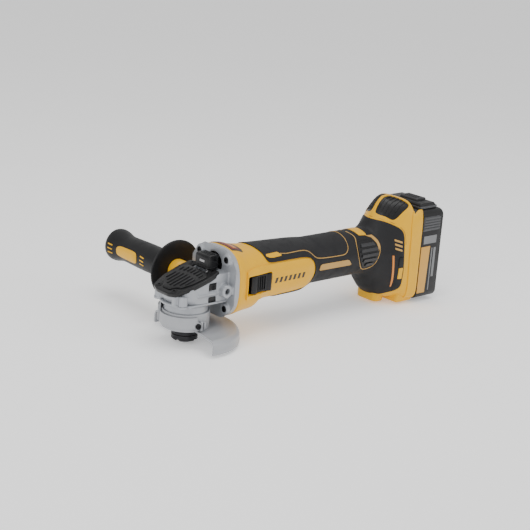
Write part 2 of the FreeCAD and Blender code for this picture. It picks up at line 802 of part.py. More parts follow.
handle_at = ("handle_x", "handle_boss_face_y", "handle_z")
stud_end = "handle_hub_length + handle_disc_thickness + 20"
part("handle_stud", turned([
    ("0", "2 - handle_socket_depth"),
    ("handle_socket_radius - running_gap", "2 - handle_socket_depth"),
    ("handle_socket_radius - running_gap", "0.6"),
    ("handle_socket_radius + 1", "0.6"),
    ("handle_socket_radius + 1", stud_end),
    ("0", stud_end),
], handle_at, "y"))
hub_end = "handle_hub_length + 0.6"
part("handle_hub", turned([
    ("handle_socket_radius + 1", "0.6"),
    ("handle_boss_radius - 0.8", "0.6"),
    ("handle_boss_radius - 0.8", "flange_half_width - handle_boss_face_y + 1"),
    ("handle_hub_radius", "flange_half_width - handle_boss_face_y + 8"),
    ("handle_hub_radius", hub_end),
    ("handle_socket_radius + 1", hub_end),
], handle_at, "y"))
disc_end = "%s + handle_disc_thickness" % hub_end
grip_stations = [
    ("handle_grip_radius - 1.8", 0.03),
    ("handle_grip_radius - 1.2", 0.1),
    ("handle_grip_radius", 0.35),
    ("handle_grip_radius - 0.4", 0.6),
    ("handle_grip_radius - 0.8", 0.78),
    ("handle_flare_radius - 1.2", 0.9),
    ("handle_flare_radius", 0.96),
    ("handle_flare_radius - 3", 1.0),
]
grip_outline = [
    ("handle_socket_radius + 1", hub_end),
    ("handle_disc_radius - 1", hub_end),
    ("handle_disc_radius", "%s + 1" % hub_end),
    ("handle_disc_radius - 1", disc_end),
]
grip_outline += [
    (radius, "%s + handle_grip_length * %g" % (disc_end, share)) for radius, share in grip_stations
]
grip_outline += [
    ("0", "%s + handle_grip_length" % disc_end),
    ("0", stud_end),
    ("handle_socket_radius + 1", stud_end),
]
part("handle_grip", turned(grip_outline, handle_at, "y"))

# ---- Wheel guard --------------------------------------------------------------------------

guard_low = -number("guard_skirt_depth")
guard_top = number("guard_top_z")
guard_r = number("guard_radius")
wall = number("guard_wall")
shoulder = number("guard_shoulder")
collar_inner = number("neck_radius") + number("running_gap") * 4
collar_outer = collar_inner + number("collar_thickness")


def shoulder_arc(reach):
    """The rounded shoulder between the guard's top and its skirt, a quarter circle."""
    middle_r = guard_r - shoulder
    middle_z = guard_top - shoulder
    diagonal = reach * math.sqrt(0.5)
    return Part.Arc(
        Vector(middle_r, 0, middle_z + reach),
        Vector(middle_r + diagonal, 0, middle_z + diagonal),
        Vector(middle_r + reach, 0, middle_z),
    ).toShape()


def line(a, b):
    return Part.makeLine(Vector(a[0], 0, a[1]), Vector(b[0], 0, b[1]))


inner_r = number("guard_inner_radius")
bead = number("guard_bead")
guard_section = Part.Wire(Part.__sortEdges__([
    line((inner_r, guard_top), (guard_r - shoulder, guard_top)),
    shoulder_arc(shoulder),
    line((guard_r, guard_top - shoulder), (guard_r, guard_low)),
    line((guard_r, guard_low), (guard_r - wall - bead, guard_low)),
    line((guard_r - wall - bead, guard_low), (guard_r - wall, guard_low + bead)),
    line((guard_r - wall, guard_low + bead), (guard_r - wall, guard_top - shoulder)),
    shoulder_arc(shoulder - wall),
    line((guard_r - shoulder, guard_top - wall), (inner_r, guard_top - wall)),
    line((inner_r, guard_top - wall), (inner_r, guard_top)),
]))
guard_shell = Part.Face(guard_section).revolve(Vector(0, 0, 0), Vector(0, 0, 1), number("guard_sweep"))
guard_shell.rotate(Vector(0, 0, 0), Vector(0, 0, 1), number("guard_start"))
part("wheel_guard", formed(guard_shell))

# The collar clamps round the neck and is welded to the guard's top.
part("guard_collar", fuse(
    tube("neck_radius + running_gap * 4 + collar_thickness", "neck_radius + running_gap * 4",
         "collar_top_z - guard_top_z", ("0", "0", "guard_top_z")),
    tube("neck_radius + running_gap * 4 + collar_thickness", "guard_inner_radius",
         "neck_bottom_z - guard_top_z - 0.4", ("0", "0", "guard_top_z")),
))

lever_r = collar_outer + 0.7


def band(inner, thickness, z_low, z_high, start, sweep):
    """Part of a ring about the spindle."""
    low, high = Vector(inner, 0, z_low), Vector(inner + thickness, 0, z_high)
    ring = Part.makePolygon([low, Vector(high.x, 0, low.z), high, Vector(low.x, 0, high.z), low])
    ring = Part.Face(ring).revolve(Vector(0, 0, 0), Vector(0, 0, 1), sweep)
    ring.rotate(Vector(0, 0, 0), Vector(0, 0, 1), start)
    return ring


lever_start = number("lever_start")
lever_sweep = number("lever_sweep")
flap_sweep = number("lever_flap_sweep")
thickness = number("lever_thickness")
lever_low = number("lever_bottom_z")
lever_end = lever_start - lever_sweep
pivot_direction = Vector(math.cos(math.radians(lever_start)), math.sin(math.radians(lever_start)), 0)
pivot_z = number("lever_screw_z")
pivot_at = Vector(0, 0, pivot_z) + pivot_direction * collar_outer
strap = band(lever_r, thickness, lever_low, number("lever_top_z"), lever_end, lever_sweep)
flap = band(lever_r, thickness, lever_low, number("lever_flap_top_z"), lever_end, flap_sweep)


def on_pivot(radius, start, length):
    """A cylinder on the lever screw's axis, from a distance outside the collar."""
    return Part.makeCylinder(radius, length, pivot_at + pivot_direction * start, pivot_direction)


pivot_radius = number("lever_screw_radius")
eye = on_pivot(number("lever_eye_radius"), 0.6, thickness + 0.8)
eye = eye.cut(Part.makeCylinder(lever_r, number("head_floor_z")))
eye_hole = on_pivot(pivot_radius + 0.1, -1, thickness + 4)
screw_shank = on_pivot(pivot_radius, 0, thickness + 1.6)
screw_head = on_pivot(number("lever_screw_head"), thickness + 1.6, 1.6)
screw_socket = on_pivot(pivot_radius - 0.4, thickness + 2.2, 1.0)
part("guard_release_lever", formed(strap.fuse([flap, eye]).cut(eye_hole)))
part("guard_lever_screw", formed(screw_shank.fuse(screw_head).cut(screw_socket)))

# ---- Motor --------------------------------------------------------------------------------

rotor_at = ("0", "0", "motor_axis_z")
rear_end = "rear_bearing_x + rear_bearing_width"
part("motor_shaft", turned([
    ("0", "%.4f" % (pinion_front - 0.6)),
    ("pinion_bore_radius", "%.4f" % (pinion_front - 0.6)),
    ("pinion_bore_radius", "front_bearing_x"),
    ("shaft_radius", "front_bearing_x"),
    ("shaft_radius", "rear_bearing_x - 1"),
    ("rear_journal_radius", "rear_bearing_x - 1"),
    ("rear_journal_radius", rear_end),
    ("0", rear_end),
], rotor_at, "x"))
bearing("motor_front_bearing", "front_bearing_radius", "shaft_radius + running_gap",
        "front_bearing_width", ("front_bearing_x", "0", "motor_axis_z"), "x", 8)
bearing("motor_rear_bearing", "rear_bearing_radius", "rear_journal_radius + running_gap",
        "rear_bearing_width", ("rear_bearing_x", "0", "motor_axis_z"), "x", 7)
part("rotor_core", tube("rotor_radius", "shaft_radius", "stator_length",
                        ("stator_front_x", "0", "motor_axis_z"), "x"))

fan_front = number("fan_x")
fan_rear = number("fan_x + fan_length")
fan_eye = number("fan_eye_radius")
disc_front = fan_rear - number("fan_disc_thickness")
blade_thickness = number("fan_blade_thickness")
fan_hub = on_motor(number("fan_hub_radius"), fan_front, fan_rear)
fan_disc = on_motor(number("fan_radius"), disc_front, fan_rear)
fan_blade = Part.makeBox(disc_front - fan_front, blade_thickness, number("fan_radius") - fan_eye,
                         Vector(fan_front, -blade_thickness / 2, axis_z + fan_eye))
motor_centre = Vector(0, 0, axis_z)
fan_blades = around(fan_blade, number("fan_blade_count"), Vector(1, 0, 0), motor_centre)
fan_bore = on_motor(number("shaft_radius"), 0, fan_rear)
part("cooling_fan", formed(fan_hub.multiFuse([fan_disc] + fan_blades).cut(fan_bore)))
part("fan_baffle", tube("stator_radius + 1.5", "rotor_radius + 4", "baffle_thickness",
                        ("fan_x + fan_length + 1", "0", "motor_axis_z"), "x"))

tooth_inner = number("rotor_radius + air_gap")
yoke_inner = number("stator_radius - stator_yoke")
stator_front = number("stator_front_x")
stator_rear = number("stator_front_x + stator_length")
tooth_width = number("stator_tooth_width")
coil_width = number("coil_width")
overhang = number("winding_overhang")
tooth_box = Part.makeBox(stator_rear - stator_front, tooth_width, yoke_inner + 1 - tooth_inner,
                         Vector(stator_front, -tooth_width / 2, axis_z + tooth_inner))
coil = Part.makeBox(stator_rear - stator_front + 2 * overhang, coil_width, yoke_inner - tooth_inner - 2.2,
                    Vector(stator_front - overhang, -coil_width / 2, axis_z + tooth_inner + 1.2))
coil = coil.cut(tooth_box)
stator_yoke = on_motor(number("stator_radius"), stator_front, stator_rear)
stator_yoke = stator_yoke.cut(on_motor(yoke_inner, stator_front, stator_rear))
tooth_count = number("stator_tooth_count")
stator_teeth = around(tooth_box, tooth_count, Vector(1, 0, 0), motor_centre, 30)
stator_coils = around(coil, tooth_count, Vector(1, 0, 0), motor_centre, 30)
stator_bore = on_motor(tooth_inner, stator_front, stator_rear)
part("stator", formed(stator_yoke.multiFuse(stator_teeth).cut(stator_bore)))
part("stator_windings", formed(Part.makeCompound(stator_coils)))

# ---- Motor housing, grip and foot ---------------------------------------------------------


def section(x, centre_z, half_width, half_height, inset=0.0):
    """A rounded section across the housing, drawn in from the outside by the inset."""
    width = number(half_width) - inset
    height = number(half_height) - inset
    corner = min(width, height) * 0.86
    z = number(centre_z)
    flat_y = width - corner
    flat_z = height - corner
    edges = []
    for i, (side_y, side_z) in enumerate(((1, 1), (-1, 1), (-1, -1), (1, -1))):
        middle = Vector(number(x), side_y * flat_y, z + side_z * flat_z)
        turn = math.pi / 2 * i
        arc = [middle + Vector(0, math.cos(turn + a) * corner, math.sin(turn + a) * corner)
               for a in (0, math.pi / 4, math.pi / 2)]
        edges.append(Part.Arc(*arc).toShape())
    for i in range(4):
        start = edges[i].Vertexes[-1].Point
        end = edges[(i + 1) % 4].Vertexes[0].Point
        edges.append(Part.makeLine(start, end))
    return Part.Wire(Part.__sortEdges__(edges))


BARREL = [
    ("flange_rear_x", "flange_centre_z - 0.2", "barrel_front_half - 0.4", "barrel_front_half + 0.6"),
    ("flange_rear_x + 17", "flange_centre_z - 1", "barrel_front_half - 1.2", "barrel_front_half - 1"),
    ("barrel_chin_x", "flange_centre_z - 1.6", "barrel_front_half - 2.6", "barrel_front_half - 2.4"),
    ("barrel_middle_x", "grip_centre_z - 1.2", "barrel_middle_half + 1.4", "barrel_middle_half"),
    ("barrel_middle_x + 58", "grip_centre_z - 1.2", "barrel_middle_half - 0.5", "barrel_middle_half - 0.3"),
    ("barrel_rear_x", "grip_centre_z - 0.4", "grip_radius + 0.7", "grip_radius + 0.7"),
]


def barrel(inset):
    return Part.makeLoft([section(*row, inset=inset) for row in BARREL], True, True)


def foot(inset):
    """The foot's side outline crossed with its plan: it widens from the grip to the battery."""
    side = [
        ("foot_front_x - 4", "grip_centre_z + grip_radius * 0.9", 1, -1),
        ("foot_front_x + 4", "grip_centre_z + grip_radius + 8", 1, -1),
        ("foot_front_x + 8", "foot_top_z - 20", 1, -1),
        ("foot_front_x + 26", "foot_top_z - 1", 1, -1),
        ("foot_front_x + 39", "foot_top_z", 0, -1),
        ("foot_rear_x", "foot_top_z - 6", -1, -1),
        ("foot_rear_x", "foot_bottom_z", -1, 1),
        ("foot_front_x + 26", "foot_bottom_z + 2.4", 1, 1),
        ("foot_front_x + 8", "foot_bottom_z + 13", 1, 1),
        ("foot_front_x", "foot_bottom_z + 24", 1, 1),
        ("foot_front_x - 4", "grip_centre_z - grip_radius * 0.9", 1, 1),
    ]
    plan = [
        ("foot_front_x - 4", "grip_radius", 1),
        ("foot_front_x + 8", "foot_half_width - 4", 0),
        ("foot_front_x + 24", "foot_half_width", 0),
        ("foot_rear_x", "foot_half_width", -1),
    ]
    side_ring = [("%s + %g" % (x, inset * a), "%s + %g" % (z, inset * b)) for x, z, a, b in side]
    near = [("%s + %g" % (x, inset * a), "%s - %g" % (y, inset)) for x, y, a in plan]
    far = [(x, "-(%s)" % y) for x, y in reversed(near)]
    return common(
        padded("XZ_Plane", side_ring, "4 * foot_half_width"),
        padded("XY_Plane", near + far, "8 * foot_top_z"),
    )


grip_at = ("barrel_rear_x - 4", "0", "grip_centre_z")
grip_length = "foot_front_x - barrel_rear_x + 12"
core_radius = "grip_radius - grip_skin"
shell_wall = number("shell_wall")
bay_front_x = "foot_rear_x - bay_depth"
bay_floor = "foot_bottom_z + bay_floor_rise"
rail_x = "foot_rear_x - bay_depth * 0.65"

# Bosses for the screws that hold the two shells together.
shell_screws = [
    ("barrel_rear_x + 10", "grip_centre_z - 15"),
    ("foot_front_x - 14", "grip_centre_z - 15"),
    ("foot_front_x + 24", "foot_bottom_z + 14"),
    ("foot_front_x + 24", "foot_top_z - 32"),
]
outer_form = fuse(formed(barrel(0)), cylinder(core_radius, grip_length, grip_at, "x"), foot(0))
inner_form = fuse(
    formed(barrel(shell_wall)),
    cylinder("%s - shell_wall" % core_radius, grip_length, grip_at, "x"),
    cut(foot(shell_wall), slab("%s - bay_wall" % bay_front_x, "foot_rear_x + 10", "60", "-60", "200")),
)
rear_bearing_rib = cut(
    slab("rear_bearing_x - 2", "%s + 1" % rear_end, "12", "motor_axis_z - 28", "motor_axis_z + 33"),
    cylinder("rear_bearing_radius", "30", ("rear_bearing_x", "0", "motor_axis_z"), "x"),
    cylinder("rear_journal_radius + 2", "30", ("rear_bearing_x - 6", "0", "motor_axis_z"), "x"),
)
stator_ribs = [
    cut(common(formed(barrel(1.0)), slab(x, "%s + 2.5" % x, "60", "0", "120")),
        cylinder("stator_radius", "200", ("0", "0", "motor_axis_z"), "x"))
    for x in ("stator_front_x + 3", "stator_front_x + stator_length - 6")
]
front_pillars = [
    cut(cylinder("case_screw_radius + 2.4", "case_screw_length - 3", ("flange_rear_x", y, z), "x"),
        cylinder("fan_radius + 2", "30", ("flange_rear_x", "0", "motor_axis_z"), "x"))
    for y, z in flange_screws
]
screw_pillars = [
    common(cylinder("small_screw_head + 1.4", "120", (x, "-60", z), "y"), outer_form)
    for x, z in shell_screws
]
front_screw_holes = [
    cylinder("case_screw_radius", "case_screw_length", ("flange_rear_x", y, z), "x")
    for y, z in flange_screws
]
shell_seat_y = "2.4 - shell_screw_seat_y"
shell_screw_holes = [
    cylinder("small_screw_radius", "shell_screw_length", (x, shell_seat_y, z), "y") for x, z in shell_screws
]
shell_head_holes = [
    cylinder("small_screw_head + 0.1", "60", (x, shell_seat_y, z), "-y") for x, z in shell_screws
]
bay = slab(bay_front_x, "foot_rear_x + 5", "foot_half_width - shell_wall", bay_floor, "200")
bay_rails = [
    block((rail_x, y, "%s + 3" % bay_floor),
          ("%s + rail_width" % rail_x, "%s + rail_depth" % y, "battery_top_z - 4"))
    for y in ("foot_half_width - shell_wall - rail_depth", "-(foot_half_width - shell_wall)")
]

# The air intakes at the rear of the grip, and the exhaust in the foot's crown.
vent_centre_x = "foot_front_x - vent_centre_back"
vent_sides = {"left": "-53", "right": "13"}


def vent_block(low_y, trim):
    """The opening of one air intake, made smaller all round by the trim."""
    reach = "(vent_half_length - %s)" % trim
    return block(("%s - %s" % (vent_centre_x, reach), low_y, "vent_low_z + %s" % trim),
                 ("%s + %s" % (vent_centre_x, reach), "%s + 40" % low_y, "vent_high_z - %s" % trim))


vent_boxes = [vent_block(low_y, "0") for low_y in vent_sides.values()]
grille_x = "foot_front_x + grille_front"
grille_box = slab(grille_x, "%s + grille_length" % grille_x, "grille_half_width",
                  "foot_top_z - 6", "foot_top_z + 10")
switch_rear = "switch_front_x + switch_length"
switch_low = "switch_centre_z - switch_height / 2"
switch_high = "switch_centre_z + switch_height / 2"
switch_slot = block(
    ("switch_front_x - switch_travel - sliding_gap", "-60", "%s - sliding_gap" % switch_low),
    ("%s + sliding_gap" % switch_rear, "-20", "%s + sliding_gap" % switch_high),
)
rod_y = "(barrel_middle_half - shell_wall - 0.2)"
rod_low = "switch_centre_z - switch_rod_width / 2"
rod_high = "switch_centre_z + switch_rod_width / 2"
rod_path = block(
    ("switch_front_x - switch_travel - 4", "-%s - sliding_gap" % rod_y, "%s - 1" % rod_low),
    ("barrel_rear_x - 20", "-%s + switch_rod_thickness + free_gap" % rod_y, "%s + 1" % rod_high),
)
shell = cut(
    fuse(cut(outer_form, inner_form), rear_bearing_rib, *(stator_ribs + front_pillars + screw_pillars)),
    bay, grille_box, switch_slot, rod_path,
    *(shell_screw_holes + shell_head_holes + vent_boxes + front_screw_holes)
)
shell = fuse(shell, *bay_rails)
halves = {"left": ("-200", "0"), "right": ("0", "200")}
for side, (low, high) in halves.items():
    part("housing_" + side, common(shell, block(("0", low, "-100"), ("600", high, "300"))))

# A rubber skin is moulded over the grip and down each side of the foot.
skin_form = cut(
    cylinder("grip_radius", "foot_front_x - barrel_rear_x - 3",
             ("barrel_rear_x", "0", "grip_centre_z"), "x"),
    cylinder(core_radius, "400", ("0", "0", "grip_centre_z"), "x"),
    *shell_head_holes[:2]
)
skin_clear = cut(skin_form, foot(0), formed(barrel(0)), *vent_boxes)
for side, (low, high) in halves.items():
    part("grip_skin_" + side, common(skin_clear, block(("0", low, "-100"), ("600", high, "300"))))
part("housing_screws", group(*[
    screw("small_screw_head", "2.4", "small_screw_radius", "shell_screw_length",
          (x, "-shell_screw_seat_y", z), "y")
    for x, z in shell_screws
]))

# Ribbed covers over the two air intakes.
slot_zs = ["vent_low_z + 3 + vent_slot_pitch * %d" % i for i in range(5)]
for side, low_y in vent_sides.items():
    slots = [
        block(("%s - vent_half_length + 2.5" % vent_centre_x, low_y, z),
              ("%s + vent_half_length - 2.5" % vent_centre_x, "%s + 40" % low_y,
               "%s + vent_slot_height" % z))
        for z in slot_zs
    ]
    ring = cut(cylinder("grip_radius + 0.6", "400", ("0", "0", "grip_centre_z"), "x"),
               cylinder("grip_radius - 3.4", "400", ("0", "0", "grip_centre_z"), "x"))
    part("vent_cover_" + side, cut(common(ring, vent_block(low_y, "sliding_gap")), *slots))

# The grille closes the opening in the foot's sloping crown.
grille_slots = [
    slab("%s + 2" % grille_x, "%s + grille_length - 2" % grille_x, "0.9", "0", "200",
         "grille_slot_pitch * %d" % i)
    for i in range(-4, 5)
]
grille_plate = slab("%s + 0.2" % grille_x, "%s + grille_length - 0.2" % grille_x,
                    "grille_half_width - 0.2", "foot_top_z - 3.4", "foot_top_z + 10")
part("foot_grille", cut(common(foot(0.2), grille_plate), *grille_slots))

# ---- Slide switch and electrics -----------------------------------------------------------

# The slider is hung on a flat rod that runs inside the shell to the switch in the grip.
cap_face_y = "barrel_front_half - 3 + switch_proud"
cap_inner_y = "barrel_middle_half - 0.5"
neck_front = "switch_front_x + 12"
part("slide_switch", fuse(
    block(("switch_front_x", "-(%s)" % cap_face_y, switch_low),
          (switch_rear, "-(%s)" % cap_inner_y, switch_high)),
    block((neck_front, "-(%s)" % cap_inner_y, rod_low), ("%s + 12" % neck_front, "-%s" % rod_y, rod_high)),
))

# The rod bends inwards behind the stator, and stays clear of the windings when it is forward.
rod_bend_x = "stator_front_x + stator_length + winding_overhang + switch_travel + switch_rod_thickness + 1"
rod_inner_low = "-switch_rod_inner_y - switch_rod_thickness"
part("switch_rod", fuse(
    block((neck_front, "-%s" % rod_y, rod_low),
          (rod_bend_x, "-%s + switch_rod_thickness" % rod_y, rod_high)),
    block(("%s - switch_rod_thickness" % rod_bend_x, "-%s" % rod_y, rod_low),
          (rod_bend_x, "-switch_rod_inner_y", rod_high)),
    block(("%s - switch_rod_thickness" % rod_bend_x, rod_inner_low, rod_low),
          ("barrel_rear_x + 6", "-switch_rod_inner_y", rod_high)),
))
part("switch_module", block(
    ("barrel_rear_x + 7", "-switch_rod_inner_y - 1", "switch_centre_z - 6"),
    ("barrel_rear_x + 7 + switch_module_length", "-3", "switch_centre_z + 9"),
))
part("controller_board", block(("foot_front_x + 20", "-26", "switch_centre_z - 30"),
                               ("foot_front_x + 36", "26", "switch_centre_z + 20")))

# Three motor leads and two leads from the switch run back along the grip.
lead_ends = [("4 + 3.4 * %d" % i, "grip_centre_z - 8") for i in range(3)]
lead_ends += [("5.5 + 3.8 * %d" % i, "grip_centre_z - 2.5") for i in range(2)]
lead_front = "%s + 4" % rear_end
part("wiring", group(*[
    cylinder("lead_radius", "foot_front_x + 20 - (%s)" % lead_front, (lead_front, y, z), "x")
    for y, z in lead_ends
]))

# Six blades stand in the bay, and the pack's clips slide down over them.
terminal_x = "%s + 2.4" % bay_front_x
blade_ys = ["blade_pitch * %g" % (i - 2.5) for i in range(6)]
blades = [
    slab("%s + 1" % terminal_x, "%s + 4" % terminal_x, "blade_thickness / 2",
         "%s + 9" % bay_floor, "%s + blade_height" % bay_floor, y)
    for y in blade_ys
]
part("terminal_block", fuse(
    block((terminal_x, "-19", bay_floor), ("%s + 5" % terminal_x, "19", "%s + 9" % bay_floor)), *blades
))

# ---- Battery pack -------------------------------------------------------------------------


def rounded_block(low, high, corner):
    """A box whose four edges along X are rounded."""
    item = doc.addObject("Part::Fillet", "Rounded")
    item.Base = block(low, high)
    item.Edges = [(edge, number(corner), number(corner)) for edge in (9, 10, 11, 12)]
    return item


# The pack's tongue slides down into the foot's bay, its grooves over the bay's two rails.
tongue_y = "foot_half_width - shell_wall - sliding_gap"
tongue_front = "%s + 0.4" % bay_front_x
tongue_low = "%s + 0.8" % bay_floor
case_front = "foot_rear_x + 0.8"
groove_y = "(foot_half_width - shell_wall - rail_depth - sliding_gap)"
groove_blocks = [
    block(("%s - sliding_gap" % rail_x, y, "-20"),
          ("%s + rail_width + sliding_gap" % rail_x, "%s + 10" % y, "200"))
    for y in (groove_y, "-%s - 10" % groove_y)
]
cell_rear_x = "battery_rear_x - battery_wall - cell_radius - 0.1"
cell_front_x = "%s - cell_row_pitch" % cell_rear_x
cell_mid_z = "(battery_bottom_z + battery_top_z) / 2"
cell_places = [
    (x, "%s + cell_pitch * (%d - (cell_rows - 1) / 2)" % (cell_mid_z, i))
    for x in (cell_front_x, cell_rear_x) for i in range(int(number("cell_rows")))
]
cells = [cylinder("cell_radius", "cell_length", (x, "-cell_length / 2", z), "y") for x, z in cell_places]
cell_room_y = "cell_length / 2 + 0.8"
cell_room = slab("%s - cell_radius - 2.6" % cell_front_x, "%s + cell_radius + 0.1" % cell_rear_x,
                 cell_room_y, "battery_bottom_z + battery_wall + 3.4", "battery_top_z - battery_wall - 1")
contact_room = slab("%s + 1.8" % tongue_front, "%s + 8.4" % tongue_front, "20.4",
                    "-50", "%s + 36" % bay_floor)
part("battery_rail_cover", cut(
    slab(tongue_front, case_front, tongue_y, tongue_low, "battery_top_z"),
    cell_room, contact_room, *groove_blocks
))
latch_mid_x = "(%s + battery_rear_x) / 2" % case_front
latch_low_z = "battery_top_z + 4"
latch_top_z = "battery_top_z + latch_block_height"
latch_pocket = slab("%s - latch_length / 2 - sliding_gap" % latch_mid_x,
                    "%s + latch_length / 2 + sliding_gap" % latch_mid_x,
                    "latch_half_width + sliding_gap", latch_low_z, "%s + 20" % latch_top_z)
gauge_z = "battery_bottom_z + 14"
gauge_room = cylinder("gauge_radius + sliding_gap", "30", ("battery_rear_x - 1.9", "0", gauge_z), "x")
pack_screws = [
    (side + "(cell_length / 2 - 2.5)", z)
    for side in ("", "-") for z in ("battery_bottom_z + 3.6", "battery_top_z + 3.2")
]
pack_head_holes = [
    cylinder("small_screw_head + 0.1", "20", ("battery_rear_x - 6", y, z), "x") for y, z in pack_screws
]
pack_screw_holes = [
    cylinder("small_screw_radius", "20", ("battery_rear_x - 24", y, z), "x") for y, z in pack_screws
]
part("battery_case", cut(
    fuse(
        rounded_block((case_front, "-foot_half_width", "battery_bottom_z"),
                      ("battery_rear_x", "foot_half_width", "battery_top_z"), "battery_corner"),
        slab("%s + 2" % case_front, "battery_rear_x - 4", "foot_half_width - 7",
             "battery_top_z - 1", latch_top_z),
    ),
    cell_room, latch_pocket, gauge_room, *(pack_head_holes + pack_screw_holes)
))
part("battery_screws", group(*[
    screw("small_screw_head", "2", "small_screw_radius", "pack_screw_length",
          ("battery_rear_x - 4", y, z), "-x")
    for y, z in pack_screws
]))
part("battery_cells", group(*cells))

# A frame at each end of the cells: a thin end plate, and ribs that reach in between them.
holder_reach = "(holder_depth / 2)"
holder_y = "(%s - 0.1 - %s)" % (cell_room_y, holder_reach)
holder_cells = [
    cylinder("cell_radius + 2 * running_gap", "cell_length + 2 * running_gap",
             (x, "-cell_length / 2 - running_gap", z), "y")
    for x, z in cell_places
]
part("cell_holder", cut(
    group(*[
        slab("%s - cell_radius + free_gap" % cell_front_x, "%s + cell_radius - 0.3" % cell_rear_x, holder_reach,
             "battery_bottom_z + battery_wall + 4.4", "battery_top_z - battery_wall - 2", side + holder_y)
        for side in ("", "-")
    ]),
    *holder_cells
))
board_x = "%s - cell_radius - 2.2" % cell_front_x
part("battery_board", slab(board_x, "%s + pack_board_thickness" % board_x, "cell_length / 2 - 2",
                           "battery_bottom_z + 10", "battery_top_z - 8"))
clip_gap = "(blade_thickness / 2 + sliding_gap)"
part("battery_contacts", group(*[
    slab("%s + 1" % terminal_x, "%s + 4" % terminal_x, "0.25",
         "%s + 22" % bay_floor, "%s + 34" % bay_floor, "%s + (%s + 0.25) * %d" % (y, clip_gap, side))
    for y in blade_ys for side in (-1, 1)
]))
part("battery_latch_button", slab(
    "%s - latch_length / 2" % latch_mid_x, "%s + latch_length / 2" % latch_mid_x, "latch_half_width",
    "%s + latch_travel + 0.5" % latch_low_z, "%s + latch_proud" % latch_top_z))

# The gauge's button lies just below the pack's rear face.
part("gauge_button", cylinder("gauge_radius", "1.1", ("battery_rear_x - 1.1", "0", gauge_z), "x"))

# ---- Check and export ---------------------------------------------------------------------

doc.recompute()
for item in doc.Objects:
    if "Invalid" in item.State or "Error" in item.State:
        raise RuntimeError("%s (%s) failed to recompute" % (item.Name, item.Label))
os.makedirs("parts", exist_ok=True)
for item in PARTS:
    if item.Shape.isNull() or not item.Shape.isValid() or not item.Shape.Solids:
        raise RuntimeError("%s has no valid shape" % item.Label)
for item in PARTS:
    item.Shape.exportStep("parts/%s.step" % item.Label)
print("%d sub-parts written" % len(PARTS))
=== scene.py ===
import math

import bpy
from mathutils import Matrix, Vector


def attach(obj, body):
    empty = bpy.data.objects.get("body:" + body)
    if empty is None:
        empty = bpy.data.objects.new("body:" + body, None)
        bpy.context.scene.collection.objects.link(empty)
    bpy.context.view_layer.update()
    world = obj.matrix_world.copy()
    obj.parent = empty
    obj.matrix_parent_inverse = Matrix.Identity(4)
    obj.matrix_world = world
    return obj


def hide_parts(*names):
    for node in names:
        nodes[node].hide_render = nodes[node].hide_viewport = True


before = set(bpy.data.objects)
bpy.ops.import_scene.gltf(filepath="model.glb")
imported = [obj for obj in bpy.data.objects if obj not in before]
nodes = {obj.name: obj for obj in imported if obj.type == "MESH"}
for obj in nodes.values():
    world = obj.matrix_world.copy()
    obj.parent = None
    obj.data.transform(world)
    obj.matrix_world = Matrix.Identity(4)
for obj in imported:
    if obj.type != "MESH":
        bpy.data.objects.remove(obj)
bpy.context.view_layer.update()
mm = 0.001

# ---- Motor housing ----
# The housing is two half shells moulded in glass-filled nylon, screwed together along the
# middle. A flared bell takes the motor's fan, a barrel the motor, a round grip the hand, and
# the tall foot at the rear the battery's tongue.

# Distance along the motor, height of the middle, half width, height above the middle, depth
# below it, and the squareness above and below.
STATIONS = [
    (43, 54.3, 37.4, 38.6, 38.6, 2.8, 2.8),
    (44.2, 54.3, 38, 39.2, 39.2, 2.8, 2.8),
    (50, 54.2, 38, 39, 39, 2.6, 2.6),
    (60, 53.2, 37, 37.6, 37.6, 2.4, 2.4),
    (75, 52.8, 35.8, 36.2, 36.2, 2.3, 2.3),
    (84, 55.4, 34, 33, 33, 2.3, 2.3),
    (92, 56.3, 33, 31.6, 31.6, 2.25, 2.25),
    (120, 55.9, 32.2, 31, 31, 2.2, 2.2),
    (150, 55.5, 31, 30.2, 30.2, 2.2, 2.2),
    (162, 56.6, 28.9, 28.4, 28.4, 2.1, 2.1),
    (172, 57.5, 26.9, 26.9, 26.9, 2, 2),
    (250, 57.5, 26.9, 26.9, 26.9, 2, 2),
    (260, 57.5, 26.9, 26.9, 28, 2, 2),
    (264, 57.5, 27, 26.9, 31.5, 2, 2),
    (268, 57.5, 27.2, 27.3, 39, 1.95, 2.1),
    (272, 57.5, 27.8, 30.5, 46.5, 1.85, 2.1),
    (276, 57.5, 28.8, 37.5, 51, 1.55, 2.2),
    (282, 57.5, 31, 48, 56, 1.45, 2.5),
    (290, 57.5, 34.6, 59.5, 60.3, 1.5, 2.8),
    (298, 57.5, 37.2, 64.2, 61.5, 1.8, 3.4),
    (306, 57.5, 37.6, 64.4, 61.5, 2.3, 4.6),
    (318, 57.5, 37.6, 61.8, 61.5, 3.8, 9),
    (331, 57.5, 37.6, 58.6, 61.4, 6, 12),
    (332, 57.5, 36.8, 57.8, 60.6, 6, 12),
]
SHELL_WALL = 2.6
SIDES = 88


def section_at(x):
    """The housing's section at a distance along the motor, eased between the stations."""
    x = min(max(x, STATIONS[0][0]), STATIONS[-1][0])
    last = max(i for i in range(len(STATIONS) - 1) if STATIONS[i][0] <= x)
    low, high = STATIONS[last], STATIONS[last + 1]
    before = STATIONS[max(last - 1, 0)]
    after = STATIONS[min(last + 2, len(STATIONS) - 1)]
    span = high[0] - low[0]
    share = (x - low[0]) / span
    values = []
    for k in range(1, 7):
        slope = (high[k] - low[k]) / span
        slope_low = (low[k] - before[k]) / max(low[0] - before[0], 1e-9)
        slope_high = (after[k] - high[k]) / max(after[0] - high[0], 1e-9)
        start = 2 * slope * slope_low / (slope + slope_low) if slope * slope_low > 0 else 0.0
        end = 2 * slope * slope_high / (slope + slope_high) if slope * slope_high > 0 else 0.0
        a, b = share * share * (3 - 2 * share), share * (1 - share)
        values.append(low[k] + (high[k] - low[k]) * a + span * b * ((1 - share) * start - share * end))
    return values


